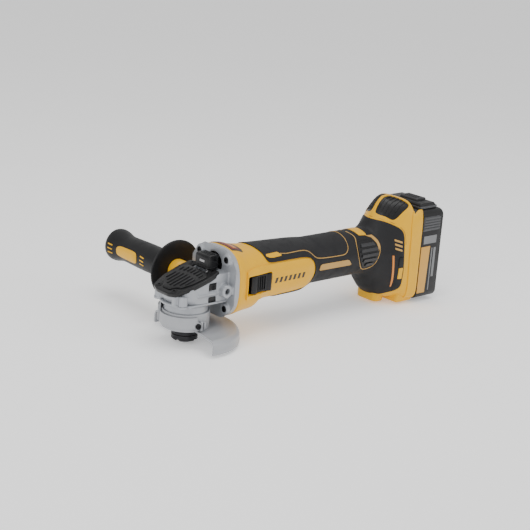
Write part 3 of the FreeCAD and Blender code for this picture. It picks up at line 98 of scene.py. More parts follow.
def on_body(x, turn, lift=0.0):
    """A point on the housing, lifted off it. Turn 0 is the right side and a quarter turn the top."""
    middle, half_width, above, below, square_above, square_below = section_at(x)
    across, up = math.cos(turn), math.sin(turn)
    reach, square = (above, square_above) if up >= 0 else (below, square_below)
    y = (half_width + lift) * math.copysign(abs(across) ** (2 / square), across)
    z = (reach + lift) * math.copysign(abs(up) ** (2 / square), up)
    return Vector((x, y, middle + z)) * mm


def turn_at(x, z):
    """The turn on the housing's left side at a height."""
    middle, _, above, below, square_above, square_below = section_at(x)
    reach, square = (above, square_above) if z >= middle else (below, square_below)
    share = min(max((z - middle) / reach, -1), 1)
    return math.pi - math.copysign(math.asin(abs(share) ** (square / 2)), share)


def only(piece):
    """Make one object the only selected one."""
    bpy.ops.object.select_all(action="DESELECT")
    piece.select_set(True)
    bpy.context.view_layer.objects.active = piece


def modify(piece, kind, **settings):
    """Add a modifier and apply it."""
    only(piece)
    modifier = piece.modifiers.new(kind, kind)
    for name, value in settings.items():
        setattr(modifier, name, value)
    bpy.ops.object.modifier_apply(modifier=modifier.name)
    return piece


def bevelled(piece, width, steps=3, angle=55):
    """Round the edges sharper than an angle in degrees, by a width in millimetres."""
    return modify(piece, "BEVEL", width=width * mm, segments=steps, limit_method="ANGLE",
                  angle_limit=math.radians(angle))


DOUBLES = 1e-6


def mend(piece):
    """Merge a closed piece's doubles and turn its faces outwards."""
    only(piece)
    bpy.ops.object.mode_set(mode="EDIT")
    bpy.ops.mesh.select_all(action="SELECT")
    bpy.ops.mesh.remove_doubles(threshold=DOUBLES)
    bpy.ops.mesh.normals_make_consistent(inside=False)
    bpy.ops.object.mode_set(mode="OBJECT")
    return piece


def ringed(name, rings):
    """A closed skin over rings of points: a circle, extruded once a ring and then shaped."""
    count = len(rings[0])
    bpy.ops.object.select_all(action="DESELECT")
    bpy.ops.mesh.primitive_circle_add(vertices=count, radius=1)
    piece = bpy.context.object
    piece.name = name
    bpy.ops.object.mode_set(mode="EDIT")
    bpy.ops.mesh.select_all(action="SELECT")
    for _ in rings[1:]:
        bpy.ops.mesh.extrude_region_move(TRANSFORM_OT_translate={"value": (0, 0, 1)})
    bpy.ops.object.mode_set(mode="OBJECT")
    for vertex in piece.data.vertices:
        turn = math.atan2(vertex.co.y, vertex.co.x) / (2 * math.pi)
        vertex.co = rings[round(vertex.co.z)][round(turn * count) % count]
    bpy.ops.object.mode_set(mode="EDIT")
    bpy.ops.mesh.select_all(action="SELECT")
    bpy.ops.mesh.remove_doubles(threshold=DOUBLES)
    bpy.ops.mesh.fill_holes(sides=0)
    bpy.ops.object.mode_set(mode="OBJECT")
    return mend(piece)


AXIS_TURNS = {"z": (0, 0, 0), "y": (math.pi / 2, 0, 0), "x": (math.pi / 2, 0, math.pi / 2)}


def plate(name, outline, low, high, axis="z", corner=0.0, edge=0.0, steps=3):
    """A plate across an axis, from its outline in millimetres, with rounded corners and edges."""
    bpy.ops.object.select_all(action="DESELECT")
    bpy.ops.mesh.primitive_circle_add(vertices=len(outline), radius=1, fill_type="NGON")
    piece = bpy.context.object
    piece.name = name
    if axis == "y":
        low, high = -high, -low
    for vertex, (u, v) in zip(piece.data.vertices, outline):
        vertex.co = Vector((u, v, low)) * mm
    bpy.ops.object.mode_set(mode="EDIT")
    bpy.ops.mesh.select_all(action="SELECT")
    if corner:
        bpy.ops.mesh.bevel(offset=corner * mm, segments=5, affect="VERTICES")
    bpy.ops.mesh.select_all(action="SELECT")
    bpy.ops.mesh.extrude_region_move(TRANSFORM_OT_translate={"value": (0, 0, (high - low) * mm)})
    bpy.ops.object.mode_set(mode="OBJECT")
    piece.rotation_euler = AXIS_TURNS[axis]
    bpy.ops.object.transform_apply(location=True, rotation=True, scale=True)
    mend(piece)
    if edge:
        bevelled(piece, edge, steps, 40)
    return piece


def box_outline(u_low, v_low, u_high, v_high):
    return [(u_low, v_low), (u_high, v_low), (u_high, v_high), (u_low, v_high)]


def turns_round(count):
    """Even turns round a circle."""
    return [2 * math.pi * i / count for i in range(count)]


def smooth_outline(points, steps=5):
    """A closed outline eased through its points."""
    eased = []
    for i in range(len(points)):
        a, b, c, d = [points[(i + k) % len(points)] for k in (-1, 0, 1, 2)]
        for step in range(steps):
            t = step / steps
            eased.append(tuple(
                0.5 * (2 * b[k] + (c[k] - a[k]) * t + (2 * a[k] - 5 * b[k] + 4 * c[k] - d[k]) * t * t
                       + (3 * b[k] - a[k] - 3 * c[k] + d[k]) * t ** 3)
                for k in (0, 1)
            ))
    return eased


def joined(name, *pieces):
    """One or several loose pieces made into one."""
    only(pieces[0])
    for piece in pieces[1:]:
        piece.select_set(True)
    if len(pieces) > 1:
        bpy.ops.object.join()
    pieces[0].name = name
    return pieces[0]


def combined(piece, operation, *tools, crossing=False):
    """A boolean with tools, which are used up. Crossing is for a piece whose own shells cross."""
    tool = joined("tool", *tools)
    modify(piece, "BOOLEAN", object=tool, operation=operation, solver="EXACT", use_self=crossing)
    bpy.data.objects.remove(tool)
    return piece


def duplicate(piece, name):
    only(piece)
    bpy.ops.object.duplicate()
    copy = bpy.context.object
    copy.name = name
    return copy


def mirrored(piece, name):
    """A copy on the other side of the middle."""
    copy = duplicate(piece, name)
    for vertex in copy.data.vertices:
        vertex.co.y = -vertex.co.y
    return mend(copy)


def paired(name, piece, *others):
    """A piece, its copy on the other side of the middle, and any others, made into one."""
    return joined(name, piece, mirrored(piece, name + "_right"), *others)


class Value:
    """A shader socket that can be added to and multiplied."""

    def __init__(self, finish, socket):
        self.finish = finish
        self.socket = socket

    def maths(self, operation, other):
        return self.finish.node("Math", {"operation": operation}, {0: self, 1: other})

    def __add__(self, other):
        return self.maths("ADD", other)

    def __mul__(self, other):
        return self.maths("MULTIPLY", other)


class Finish:
    """A material in the making. Its pattern follows the piece in metres."""

    def __init__(self, name, **constants):
        self.material = bpy.data.materials.new(name)
        self.material.use_nodes = True
        self.tree = self.material.node_tree
        self.shader = self.tree.nodes["Principled BSDF"]
        for socket, value in constants.items():
            self.shader.inputs[socket.replace("_", " ")].default_value = value
        self.place = self.node("TexCoord", output="Object")

    def node(self, kind, settings=None, inputs=None, output=0):
        """Any shader node: its settings are made first, then its sockets are fed."""
        node = self.tree.nodes.new("ShaderNode" + kind)
        for name, value in (settings or {}).items():
            setattr(node, name, value)
        for name, value in (inputs or {}).items():
            self.feed(node.inputs[name], value)
        return Value(self, node.outputs[output])

    def feed(self, socket, value):
        if isinstance(value, Value):
            self.tree.links.new(value.socket, socket)
        else:
            socket.default_value = value

    def noise(self, scale, detail=2.0, stretch=None):
        place = self.place
        if stretch:
            place = self.node("Mapping", None, {"Vector": place, "Scale": stretch})
        return self.node("TexNoise", None, {"Vector": place, "Scale": scale, "Detail": detail})

    def mask(self, value, low, high):
        """0 below the low value, 1 above the high one."""
        return self.node("MapRange", None, {"Value": value, "From Min": low, "From Max": high})

    def mix(self, share, first, second):
        """A blend of two colours."""
        inputs = {0: share, 6: (*first, 1), 7: (*second, 1)}
        return self.node("Mix", {"data_type": "RGBA"}, inputs, output=2)

    def set(self, **sockets):
        for name, value in sockets.items():
            self.feed(self.shader.inputs[name.replace("_", " ")], value)
        return self

    def bump(self, height, depth):
        """Raise the surface by the height, 0 to 1, times a depth in metres."""
        inputs = {"Height": height, "Distance": depth, "Strength": 1.0}
        return self.set(Normal=self.node("Bump", None, inputs))


def surface(name, dark, light, roughness, grain, depth, rough_swing=0.12, **constants):
    """A finish with soft clouds between two shades, scuffs in its gloss, and a fine grain."""
    finish = Finish(name, **constants)
    clouds = finish.noise(26, 4)
    fine = finish.noise(grain, 2)
    scuffs = finish.mask(finish.noise(90, 6), 0.45, 0.72)
    finish.set(
        Base_Color=finish.mix(clouds * 0.75 + fine * 0.25, dark, light),
        Roughness=scuffs * rough_swing + roughness,
    )
    return finish.bump(fine, depth)


def fit(piece, finish, body, slot, *replaced, angle=32):
    """Finish a piece, let it ride on its body and hide the CAD nodes it stands for."""
    only(piece)
    bpy.ops.object.shade_smooth_by_angle(angle=math.radians(angle))
    piece.data.materials.clear()
    piece.data.materials.append(finish.material)
    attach(piece, body)
    if replaced:
        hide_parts(*replaced)
    return piece


def body_rings(xs, lift):
    return [[on_body(x, turn, lift) for turn in turns_round(SIDES)] for x in xs]


def body_layer(name, x_low, x_high, lift, depth, step=2.0):
    """A closed layer over the housing between two distances, from the lift down by the depth."""
    count = round((x_high - x_low) / step)
    xs = [x_low + (x_high - x_low) * i / count for i in range(count + 1)]
    outer = body_rings(xs, lift)
    inner = body_rings(xs[::-1], lift - depth)
    return ringed(name, outer + inner + outer[:1])


REACH = 60
CROWN_LOW, CROWN_HIGH = 95, 140


def side_room(outline, corner=0.0):
    """A tool through both sides of the housing, from its outline of (distance, height)."""
    return plate("room", outline, -REACH, REACH, "y", corner=corner)


def crown_rooms(*outlines):
    """Tools through the foot's crown from outlines on its left half, and their mirror images."""
    rooms = [plate("room", outline, CROWN_LOW, CROWN_HIGH) for outline in outlines]
    return paired("rooms", joined("rooms", *rooms))


def inlaid(name, x_low, x_high, lift, depth, *rooms, step=2.0, crossing=False):
    """The part of a layer over the housing that lies inside the rooms."""
    layer = body_layer(name, x_low, x_high, lift, depth, step)
    return combined(layer, "INTERSECT", *rooms, crossing=crossing)


def fit_halves(whole, name, gap, finish, slot, node):
    """Split a piece along the housing's middle, with a gap on each side, and fit its halves."""
    for side, sign in (("left", -1), ("right", 1)):
        y_low, y_high = sorted((gap * sign, REACH * sign))
        half = duplicate(whole, name + side)
        half_room = plate("half_room", box_outline(30, y_low, 350, y_high), -30, 150)
        combined(half, "INTERSECT", half_room)
        fit(half, finish, "housing", slot, node + side)
    bpy.data.objects.remove(whole)


yellow = surface("yellow_nylon", (0.76, 0.385, 0.0030), (0.88, 0.475, 0.0050), 0.30, 2600, 2.2e-5,
                 Specular_IOR_Level=0.3)

# The shell is drawn from its inner face at the rear, forward, round the open front end and
# back along its outer face to the battery's bay.
inner_xs = [43 + 8 * i for i in range(27)] + [255 + 4 * i for i in range(16)]
barrel_xs = [43, 43.6, 44.2, 46] + [48 + 3 * i for i in range(69)]
foot_xs = [254 + 1.6 * i for i in range(48)] + [331, 331.6, 332]
BAY_FRONT, BAY_REAR = 318.5, 331.9
BAY_MOUTH = (box_outline(BAY_FRONT, -35, 340, 35), 96, CROWN_HIGH)
shell = ringed(
    "housing_shell",
    body_rings(inner_xs[::-1], -SHELL_WALL)
    + body_rings(barrel_xs + foot_xs, 0)
    + body_rings((BAY_REAR, BAY_FRONT), -SHELL_WALL),
)
combined(shell, "DIFFERENCE", plate("bay_mouth", *BAY_MOUTH))

# The windows in the foot's crown, one each side of its ridge, and the slider's slot.
CROWN_WINDOW = [(282.8, -2.8), (287, -2.3), (293, -2.1), (299, -2.1), (304.6, -2.6), (309, -8.6),
                (315.2, -21), (316, -25.4), (312.4, -27.6), (304, -26.6), (296.4, -25.4),
                (291.4, -21.6), (284.6, -12), (281.8, -5.4)]
window_outline = smooth_outline(CROWN_WINDOW, 3)
combined(shell, "DIFFERENCE", crown_rooms(window_outline))
SLOT_DEPTH = -20
slot = plate("slot", box_outline(54.7, 43.2, 91.3, 63.8), -REACH, SLOT_DEPTH, "y", corner=1.2)
combined(shell, "DIFFERENCE", slot)
fit_halves(shell, "housing_half_", 0.07, yellow, "yellow_plastic", "housing_")

# A raised field on each side of the barrel. On the left it frames the slider's slot.
SIDE_FIELD = [(53.6, 41), (53.6, 67), (57, 70.6), (72, 72.6), (94, 72.2), (122, 71.6), (148, 70.6),
              (156.5, 66), (160, 57), (159, 46), (153, 37.6), (143, 34.6), (120, 33), (92, 33.6),
              (70, 35.4), (58, 37.2)]
fields = inlaid("side_fields", 48, 168, 1.9, 2.8, side_room(smooth_outline(SIDE_FIELD, 4)))
slot = plate("slot", box_outline(54.2, 42.4, 92.2, 64.6), -REACH, SLOT_DEPTH, "y", corner=1.6)
combined(fields, "DIFFERENCE", slot)
fit(bevelled(fields, 1, 4, 50), yellow, "housing", "yellow_plastic")

# A row of slanted black dashes is printed on the left field.
dashes = [
    plate("dash", [(x, 50.2), (x + 3.6, 50.2), (x + 5.4, 56.4), (x + 1.8, 56.4)], -REACH, -10, "y")
    for x in (97, 104, 111, 118, 125, 132, 139)
]
field_marks = inlaid("field_marks", 92, 150, 2, 0.8, *dashes)
mark_black = surface("mark_black", (0.016, 0.013, 0.010), (0.030, 0.025, 0.020), 0.42, 1800, 1e-5)
fit(field_marks, mark_black, "housing", "black_plastic")

# ---- Rubber skins ----
# Soft black rubber is moulded over the grip, the rear of the barrel and the sides of the
# foot. It is bonded to the nylon under it, and its edge runs round the raised field.

rubber = surface("black_rubber", (0.0085, 0.0085, 0.0095), (0.017, 0.017, 0.019), 0.56, 1500, 6e-5,
                 rough_swing=0.16, Specular_IOR_Level=0.3)
SKIN = [(80, 100), (83, 89), (86, 84.4), (88.6, 77.4), (94, 73.8), (116, 73.1), (140, 72.6),
        (152.4, 71), (159.4, 67.2), (163.4, 60), (164.4, 50), (160.8, 40.6), (154, 34.8),
        (144, 31.6), (122, 30), (117, 27.5), (114, 10), (200, -6), (274, -7), (282, 0.8),
        (287, 2.8), (291.4, 6), (299, 10), (303.4, 14.6), (304.4, 24), (304.4, 40), (302.4, 66),
        (302.2, 77), (300.8, 84), (296.4, 88.8), (290.4, 92.2), (284.2, 94.7), (277.4, 95.9),
        (270, 96.6), (262, 100), (170, 100)]
skin = inlaid("skin", 76, 306, 0.9, 1.6, side_room(smooth_outline(SKIN, 3)))
fit_halves(bevelled(skin, 0.35, 2), "rubber_skin_", 0.05, rubber, "black_rubber", "grip_skin_")

# ---- Inlays in the rubber ----
# Thin lines, a tab, a strip and a badge of yellow nylon show through windows in the rubber.
# They carry no words.

amber = surface("amber_inlay", (0.47, 0.26, 0.060), (0.56, 0.33, 0.085), 0.42, 2200, 2e-5)

LINE_RADIUS, LINE_LIFT = 0.5, 0.95


def bead(name, points, radius, order=3):
    """A round bead along a smooth line of points in metres."""
    bpy.ops.object.select_all(action="DESELECT")
    bpy.ops.curve.primitive_nurbs_path_add()
    piece = bpy.context.object
    piece.name = name
    curve = piece.data
    curve.splines.clear()
    spline = curve.splines.new("NURBS")
    spline.points.add(len(points) - 1)
    for point, place in zip(spline.points, points):
        point.co = (*place, 1)
    spline.order_u = order
    spline.use_endpoint_u = True
    curve.resolution_u = 5
    curve.bevel_depth = radius * mm
    curve.bevel_resolution = 3
    curve.use_fill_caps = True
    bpy.ops.object.convert(target="MESH")
    return mend(bpy.context.object)


def body_line(name, points, radius=LINE_RADIUS, lift=LINE_LIFT):
    """A bead on the housing's left side through points of (distance, height)."""
    return bead(name, [on_body(x, turn_at(x, z), lift) for x, z in points], radius)


RIDGE_LINE = [(111.5, 79.6), (118, 78.5), (127, 78.3), (142, 78.4), (152, 77.6), (158, 74.4),
              (163, 69.6), (169.5, 66.4), (188, 65.4), (206, 65.1), (213.5, 65.4), (218.6, 69),
              (221, 74.6), (221.4, 80)]
line_end, end_turn = RIDGE_LINE[-1][0], turn_at(*RIDGE_LINE[-1])
top_turns = [end_turn - (2 * end_turn - math.pi) * i / 8 for i in range(9)]
top_line = bead("top_line", [on_body(line_end, turn, LINE_LIFT) for turn in top_turns], LINE_RADIUS)
lines = paired("grip_lines", body_line("side_line", RIDGE_LINE), top_line)
fit(lines, amber, "housing", "yellow_plastic")

TAB = [(91, 82), (89.6, 80.4), (94, 78.4), (99, 77.9), (111.6, 78.2), (112.6, 79.4), (108.4, 82)]
STRIP = [(172, 53), (173.2, 58), (176, 59.2), (216, 58.8), (219.4, 58), (223.6, 52.6), (222, 51.4),
         (173, 51.8)]
tab = inlaid("side_tab", 84, 118, 1.3, 1.2, side_room(TAB))
strip = inlaid("side_strip", 168, 228, 1.3, 1.2, side_room(STRIP))
BADGE = [(245.4, -14), (243.6, -4), (243.6, 4), (245.4, 14), (257.4, 15.4), (257, 5), (257, -5),
         (257.4, -15.4)]
badge_room = plate("badge_room", BADGE, 60, 110, corner=1.2)
badge = inlaid("top_badge", 236, 262, 1.3, 1.2, badge_room, step=1)
fit(joined("grip_inlays", tab, badge), yellow, "housing", "yellow_plastic")
fit(strip, amber, "housing", "yellow_plastic")

# ---- Air intakes ----
# A ribbed cover of black nylon snaps over the air intake on each side of the grip's rear end,
# inside a yellow border that widens to a wedge behind it.

black_nylon = surface("black_nylon", (0.0045, 0.0045, 0.005), (0.010, 0.010, 0.011), 0.34, 2200, 2.4e-5,
                      Specular_IOR_Level=0.35)
# A lighter black nylon. On the vent ribs its lightness is a painted highlight on their tops; the latch and
# gauge button also use it.
light_nylon_and_rib_highlight = surface("light_nylon_and_rib_highlight", (0.022, 0.022, 0.024), (0.038, 0.038, 0.041), 0.38, 1900, 3e-5,
                    Specular_IOR_Level=0.4)
VENT = [(236.6, 76.4), (235.2, 68), (237.4, 57.7), (242, 49), (247.6, 44), (255.2, 43.8),
        (262.3, 47.4), (265.7, 53.6), (267.4, 61.7), (267.2, 69.4), (261.8, 76), (247, 77.4)]
cover = inlaid("vent_covers", 226, 274, 1.7, 2.8, side_room(smooth_outline(VENT, 4)), step=1.5)
bevelled(cover, 0.4, 2)
VENT_RIBS = [(247.4, 260.6, 47.6), (242.2, 265, 53.6), (239.4, 266.2, 59.8), (238.4, 266, 66),
             (239.4, 261.6, 72.2)]
rib_rooms = [
    side_room([(front, z - 1.6), (front + 1.6, z + 1.9), (rear, z + 1.9), (rear + 1.2, z - 1.6)], 0.7)
    for front, rear, z in VENT_RIBS
]
ribs = inlaid("vent_ribs", 228, 272, 3.1, 2.2, *rib_rooms, step=1.5)
bevelled(ribs, 0.5)
fit_halves(cover, "vent_frame_", 5, black_nylon, "black_plastic", "vent_cover_")
# The ribs' lighter finish is a painted highlight on their tops.
fit(ribs, light_nylon_and_rib_highlight, "housing", "black_plastic")

BORDER = [(233.6, 84.2), (236.6, 82.6), (238, 79.6), (235.2, 75.6), (233.6, 68), (235.2, 58),
          (239.8, 48.6), (246, 42.4), (253.4, 41), (262.9, 43.8), (267.8, 51.2), (270.9, 61.3),
          (271.6, 69), (269.6, 75.6), (264.8, 79.4)]
WEDGE = [(255, 80.6), (262.2, 78.2), (267.4, 71.4), (268.8, 62.8), (271.4, 68.6), (269.8, 75.4),
         (265.2, 80.4)]
wedges = inlaid("wedges", 250, 274, 1.35, 1.2, side_room(WEDGE), step=1)
borders = paired("vent_borders", body_line("side_border", BORDER, 0.6), wedges)
fit(borders, amber, "housing", "yellow_plastic")

# ---- Foot trim ----
# Black ribbed panels lie a little below the crown's two windows. The foot's rear rim is a
# raised band, and the rubber on each side carries a narrow strip and a small yellow pad.

panels = inlaid("crown_panels", 270, 326, -1.1, 2, crown_rooms(window_outline))
fit(panels, black_nylon, "housing", "black_plastic", "foot_grille")
louvre_rooms = crown_rooms(*[
    [(start, y), (start + 0.8, y + 1.5), (end - 0.8, y + 1.5), (end, y)]
    for y, start, end in ((-5.6, 284, 305.6), (-9.6, 285.4, 308), (-13.6, 287.8, 310.4),
                          (-17.6, 290.4, 312.4), (-21.6, 293.8, 314.2))
])
louvres = inlaid("crown_louvres", 272, 324, -0.3, 1.2, louvre_rooms)
fit(louvres, black_nylon, "housing", "black_plastic")

BAND = [(315.6, -6), (314.8, 20), (313.2, 60), (313.2, 90), (316, 104), (319, 109), (331.6, 109),
        (331.6, -6)]
band = inlaid("foot_band", 300, 331.8, 1.1, 1.8, side_room(BAND, 3), crossing=True)
combined(band, "DIFFERENCE", plate("bay_mouth", *BAY_MOUTH))
fit(bevelled(band, 0.5), yellow, "housing", "yellow_plastic")

SEAM = [(277.8, 98.2), (279.4, 98), (284.8, 96.9), (292.7, 93.7), (299.1, 89.5), (303.2, 84.4),
        (304.8, 78), (305.4, 68)]
seam_shadow = surface("seam_shadow", (0.30, 0.09, 0.01), (0.40, 0.13, 0.014), 0.6, 1800, 1e-5)
seam = paired("crown_seam", body_line("side_seam", SEAM, 0.42, lift=-0.12))
fit(seam, seam_shadow, "housing", "yellow_plastic")

orange = surface("orange_inlay", (0.62, 0.20, 0.03), (0.74, 0.27, 0.05), 0.42, 2000, 2e-5)
strip_room = side_room([(286.8, 55.8), (289, 55.8), (292.8, 15.4), (290.8, 15)])
foot_strips = inlaid("foot_strips", 280, 292, 1.25, 0.9, strip_room, step=1)
fit(foot_strips, orange, "housing", "yellow_plastic")
pad_room = side_room(box_outline(296.6, 25.4, 302.6, 39.4), 0.8)
foot_pads = inlaid("foot_pads", 290, 304, 1.5, 1.2, pad_room, step=1)
fit(foot_pads, yellow, "housing", "yellow_plastic")
mark_rooms = [
    side_room([(290, 75.6 - drop), (299, 72.6 - drop), (299, 70.2 - drop), (290, 73.2 - drop)], 0.5)
    for drop in (0, 5, 10)
]
foot_marks = inlaid("foot_marks", 286, 304, 1.25, 0.9, *mark_rooms, step=1)
fit(foot_marks, amber, "housing", "yellow_plastic")
block_room = side_room(box_outline(295.6, 41.4, 302.4, 52.6), 0.8)
foot_blocks = inlaid("foot_blocks", 290, 304, 2, 1.6, block_room, step=1)
fit(bevelled(foot_blocks, 0.4, 2), rubber, "housing", "black_rubber")
feet = joined(
    "foot_pads_below",
    plate("front_foot", box_outline(281.6, -17, 299.4, 17), -8.2, 6, corner=7, edge=1.6),
    plate("rear_foot", box_outline(304, -32.6, 331.4, 32.6), -8, 4, corner=3, edge=1.6),
)
fit(feet, yellow, "housing", "yellow_plastic")

# ---- Data plate ----
# A foil plate is glued across the top of the bell behind the gear case. It is left blank, a
# black rim around a red and a yellow field.

foil_black = surface("foil_black", (0.020, 0.017, 0.015), (0.034, 0.030, 0.026), 0.34, 1500, 8e-6)
foil_red = surface("foil_red", (0.13, 0.008, 0.005), (0.20, 0.016, 0.009), 0.36, 1500, 8e-6)
foil_tan = surface("foil_tan", (0.48, 0.17, 0.03), (0.58, 0.23, 0.05), 0.36, 1500, 8e-6)
FOILS = (
    ("foil_rim", foil_black, 0.35,
     [(44.9, -19), (60.6, -19), (61.8, -14), (61.8, 14), (60.6, 19), (44.9, 19)]),
    ("foil_field", foil_red, 0.50,
     [(46, -17), (58, -16), (58.8, -12), (58.8, 12), (58, 16), (46, 17)]),
    ("foil_stripe", foil_tan, 0.62,
     [(49.6, -14.6), (55.4, -13.6), (56.4, -9), (55.2, 15), (51.8, 15), (50.6, 0)]),
)
for name, finish, lift, outline in FOILS:
    foil_room = plate("foil_room", outline, 75, 110, corner=0.6)
    foil = inlaid(name, 44.6, 63, lift, 0.4, foil_room, step=1)
    fit(foil, finish, "housing", "yellow_plastic")

# ---- Slide switch ----
# The slider is a block of black nylon in a slot on the left side, with a scooped, ribbed face
# for the thumb. A neck under it joins it to the switch rod inside the barrel.

SLIDER = [(61, -31), (61, -36.6), (63, -38), (67.4, -38.3), (70.6, -35.4), (77, -34.5),
          (84.6, -34.8), (87, -36.6), (89.4, -37), (91, -36), (91, -31)]
slider = plate("switch_slider", SLIDER, 43.6, 63.4, edge=0.5)
RIB_BASE, RIB_CREST = -33.9, -35.9
thumb_ribs = [
    plate("thumb_rib", [(x, RIB_BASE), (x + 0.5, RIB_CREST), (x + 1.5, RIB_CREST), (x + 2, RIB_BASE)],
          45.6, 61.4, edge=0.25)
    for x in (71.6, 74.8, 78, 81.2)
]
neck = plate("slider_neck", box_outline(73, -31.4, 85, -28.7), 48.5, 58.5)
slider = joined("switch_slider", slider, neck, *thumb_ribs)
fit(slider, black_nylon, "switch", "black_plastic", "slide_switch")

# ---- Gear case and bearing box ----
# Both are die-cast in magnesium alloy and painted silver grey, so every edge is soft and
# every wall has a slight orange-peel skin. Screws hold the box under the case.

satin_black = surface("satin_black", (0.0035, 0.0035, 0.0040), (0.008, 0.008, 0.009), 0.26, 2000, 2.2e-5,
                      Specular_IOR_Level=0.35)
cast = surface("cast_paint", (0.33, 0.345, 0.37), (0.42, 0.435, 0.46), 0.34, 1300, 3.2e-5,
               Metallic=0.35, Coat_Weight=0.15, Coat_Roughness=0.3)


def softened(name, node, voxel, extra=(), trim=None, smoothing=3, keep=0.6):
    """A CAD node's shape with soft cast edges: its own triangles merged, remeshed and relaxed."""
    piece = nodes[node].copy()
    piece.data = nodes[node].data.copy()
    piece.name = name
    bpy.context.scene.collection.objects.link(piece)
    piece.parent = None
    piece.matrix_world = Matrix()
    mend(piece)
    if trim:
        combined(piece, "INTERSECT", trim)
    if extra:
        piece = joined(name, piece, *extra)
    modify(piece, "REMESH", mode="VOXEL", voxel_size=voxel * mm)
    modify(piece, "SMOOTH", factor=0.5, iterations=smoothing)
    modify(piece, "DECIMATE", ratio=keep)
    return piece


FLANGE_X, CASE_LIFT = 43, 0.5


def round_outline(u, v, radius, count=32):
    return [(u + radius * math.cos(turn), v + radius * math.sin(turn)) for turn in turns_round(count)]


def face_ring(x, lift):
    """A ring at a distance along the motor, with the outline of the housing's front end."""
    return [Vector((x * mm, *on_body(FLANGE_X, turn, lift).yz)) for turn in turns_round(SIDES)]


def round_ring(x, radius, height):
    """A round ring at a distance along the motor, about a height."""
    return [Vector((x * mm, radius * math.cos(turn), height + radius * math.sin(turn)))
            for turn in turns_round(SIDES)]


# The flange's edge follows the housing's front end, and its screws sit in raised bosses.
RING_FRONT, RING_WIDTH = 36.4, 6
flange_ring = ringed("flange_ring", [
    face_ring(x, lift) for x, lift in (
        (RING_FRONT, CASE_LIFT), (FLANGE_X, CASE_LIFT), (FLANGE_X, -RING_WIDTH), (RING_FRONT, -RING_WIDTH),
        (RING_FRONT, CASE_LIFT))
])
case_room = ringed(
    "case_room",
    [round_ring(x, 0.09, 0.06) for x in (-60, 36.2)] + [face_ring(x, CASE_LIFT) for x in (36.2, 43.4)],
)
FLANGE_SCREWS = ((-23.5, 83, 6.8), (23.5, 83, 6.8), (-25, 27.6, 6.6), (25, 27.6, 6.6))
lugs = [plate("lug", round_outline(-26.2, y, 3.5), 39, 53) for y in (-13.4, 13.4)]
bosses = [plate("boss", round_outline(y, z, radius), 34.4, 37, "x") for y, z, radius in FLANGE_SCREWS]
gear_case = softened("cast_gear_case", "gear_case", 0.75, [flange_ring, *lugs, *bosses], trim=case_room)
seats = [plate("seat", round_outline(y, z, 3.5), 33, 35.9, "x") for y, z, _ in FLANGE_SCREWS]
combined(gear_case, "DIFFERENCE", *seats)

# Black panes fill the case's side windows with painted shade, standing for their dark openings, a little
# proud of its wall.
painted_window_shade = duplicate(gear_case, "case_window_painted_shade")
modify(painted_window_shade, "DISPLACE", strength=0.15 * mm, mid_level=0)
SHADE_NEAR, SHADE_FAR = 16, 45
shade_boxes = [
    plate("pane", box_outline(9.6, low, 19.8, high), near, far, "y", corner=0.8)
    for low, high in ((52.2, 60.8), (37.2, 44.8))
    for near, far in ((-SHADE_FAR, -SHADE_NEAR), (SHADE_NEAR, SHADE_FAR))
]
combined(painted_window_shade, "INTERSECT", *shade_boxes)
fit(gear_case, cast, "housing", "cast_grey", "gear_case", angle=60)
# The black panes are painted shade in the case's window openings.
fit(painted_window_shade, satin_black, "housing", "black_plastic")
bearing_box = softened("cast_bearing_box", "bearing_box", 0.7)
fit(bearing_box, cast, "housing", "cast_grey", "bearing_box", angle=60)

# ---- Top plate ----
# A black nylon plate covers the sloping top of the gear case, with grip ribs along it. Four
# screws go through its corners into the case.

SLOPE = math.radians(18.87)
SEAT_X, SEAT_Z = 20, 71.4 - 2.6 / math.cos(SLOPE)


def on_slope(piece):
    """Lay a piece drawn flat on the sloping top of the case."""
    for vertex in piece.data.vertices:
        x, lift = vertex.co.x, vertex.co.z
        vertex.co.x = x - math.sin(SLOPE) * lift
        vertex.co.z = SEAT_Z * mm + (x - SEAT_X * mm) * math.tan(SLOPE) + math.cos(SLOPE) * lift
    return mend(piece)


half_plate = [(-33.8, 10), (-30.4, 19.6), (-12, 26.6), (10, 28), (24, 25.4), (24, 13.6),
              (16.1, 13.6)]
plate_outline = half_plate[::-1] + [(x, -y) for x, y in half_plate]
half_field = [(-28.4, 6), (-22.8, 10.4), (-20.6, 17), (-8, 22.6), (9, 23.8), (14.6, 16.4),
              (14.4, 12)]
field_outline = half_field[::-1] + [(x, -y) for x, y in half_field]
plate_parts = [
    plate("base", plate_outline, -2.4, 2.6, corner=1.8, edge=0.8),
    plate("field", field_outline, 2.2, 4, corner=1.4, edge=0.8),
]
plate_parts += [
    plate("rib", box_outline(front, y - 0.8, rear, y + 0.8), 3.6, 5, corner=0.7, edge=0.4)
    for y, front, rear in ((-17, -15, -2), (-11.4, -18, -1), (-5.7, -22, 0), (0, -23, 0.4),
                           (5.7, -22, 0), (11.4, -18, -1), (17, -15, -2),
                           (-17, 3, 8.6), (-11.4, 4, 11.6), (-5.7, 4.6, 12), (0, 4.8, 12),
                           (5.7, 4.6, 12), (11.4, 4, 11.6), (17, 3, 8.6))
]
plate_parts += [
    plate("screw_ring", round_outline(x, y, 3.9), 2.2, 3, edge=0.3)
    for x, y in ((-27.1, 13.4), (-27.1, -13.4), (20.4, 18), (20.4, -18))
]
for piece in plate_parts:
    on_slope(piece)
top_plate = joined("ribbed_top_plate", *plate_parts)
screw_rooms = [
    on_slope(plate("screw_room", round_outline(x + 0.9, y, 2.85), -6, 12))
    for x, y in ((-28, 13.4), (-28, -13.4), (20, 18), (20, -18))
]
combined(top_plate, "DIFFERENCE", *screw_rooms, crossing=True)
fit(top_plate, satin_black, "housing", "black_plastic", "top_plate")

# ---- Spindle lock ----
# The lock's cap is a black nylon block between the plate and the flange. Pushed down, it
# drives its pin into the crown gear. A dark liner closes the arch in the flange behind it.

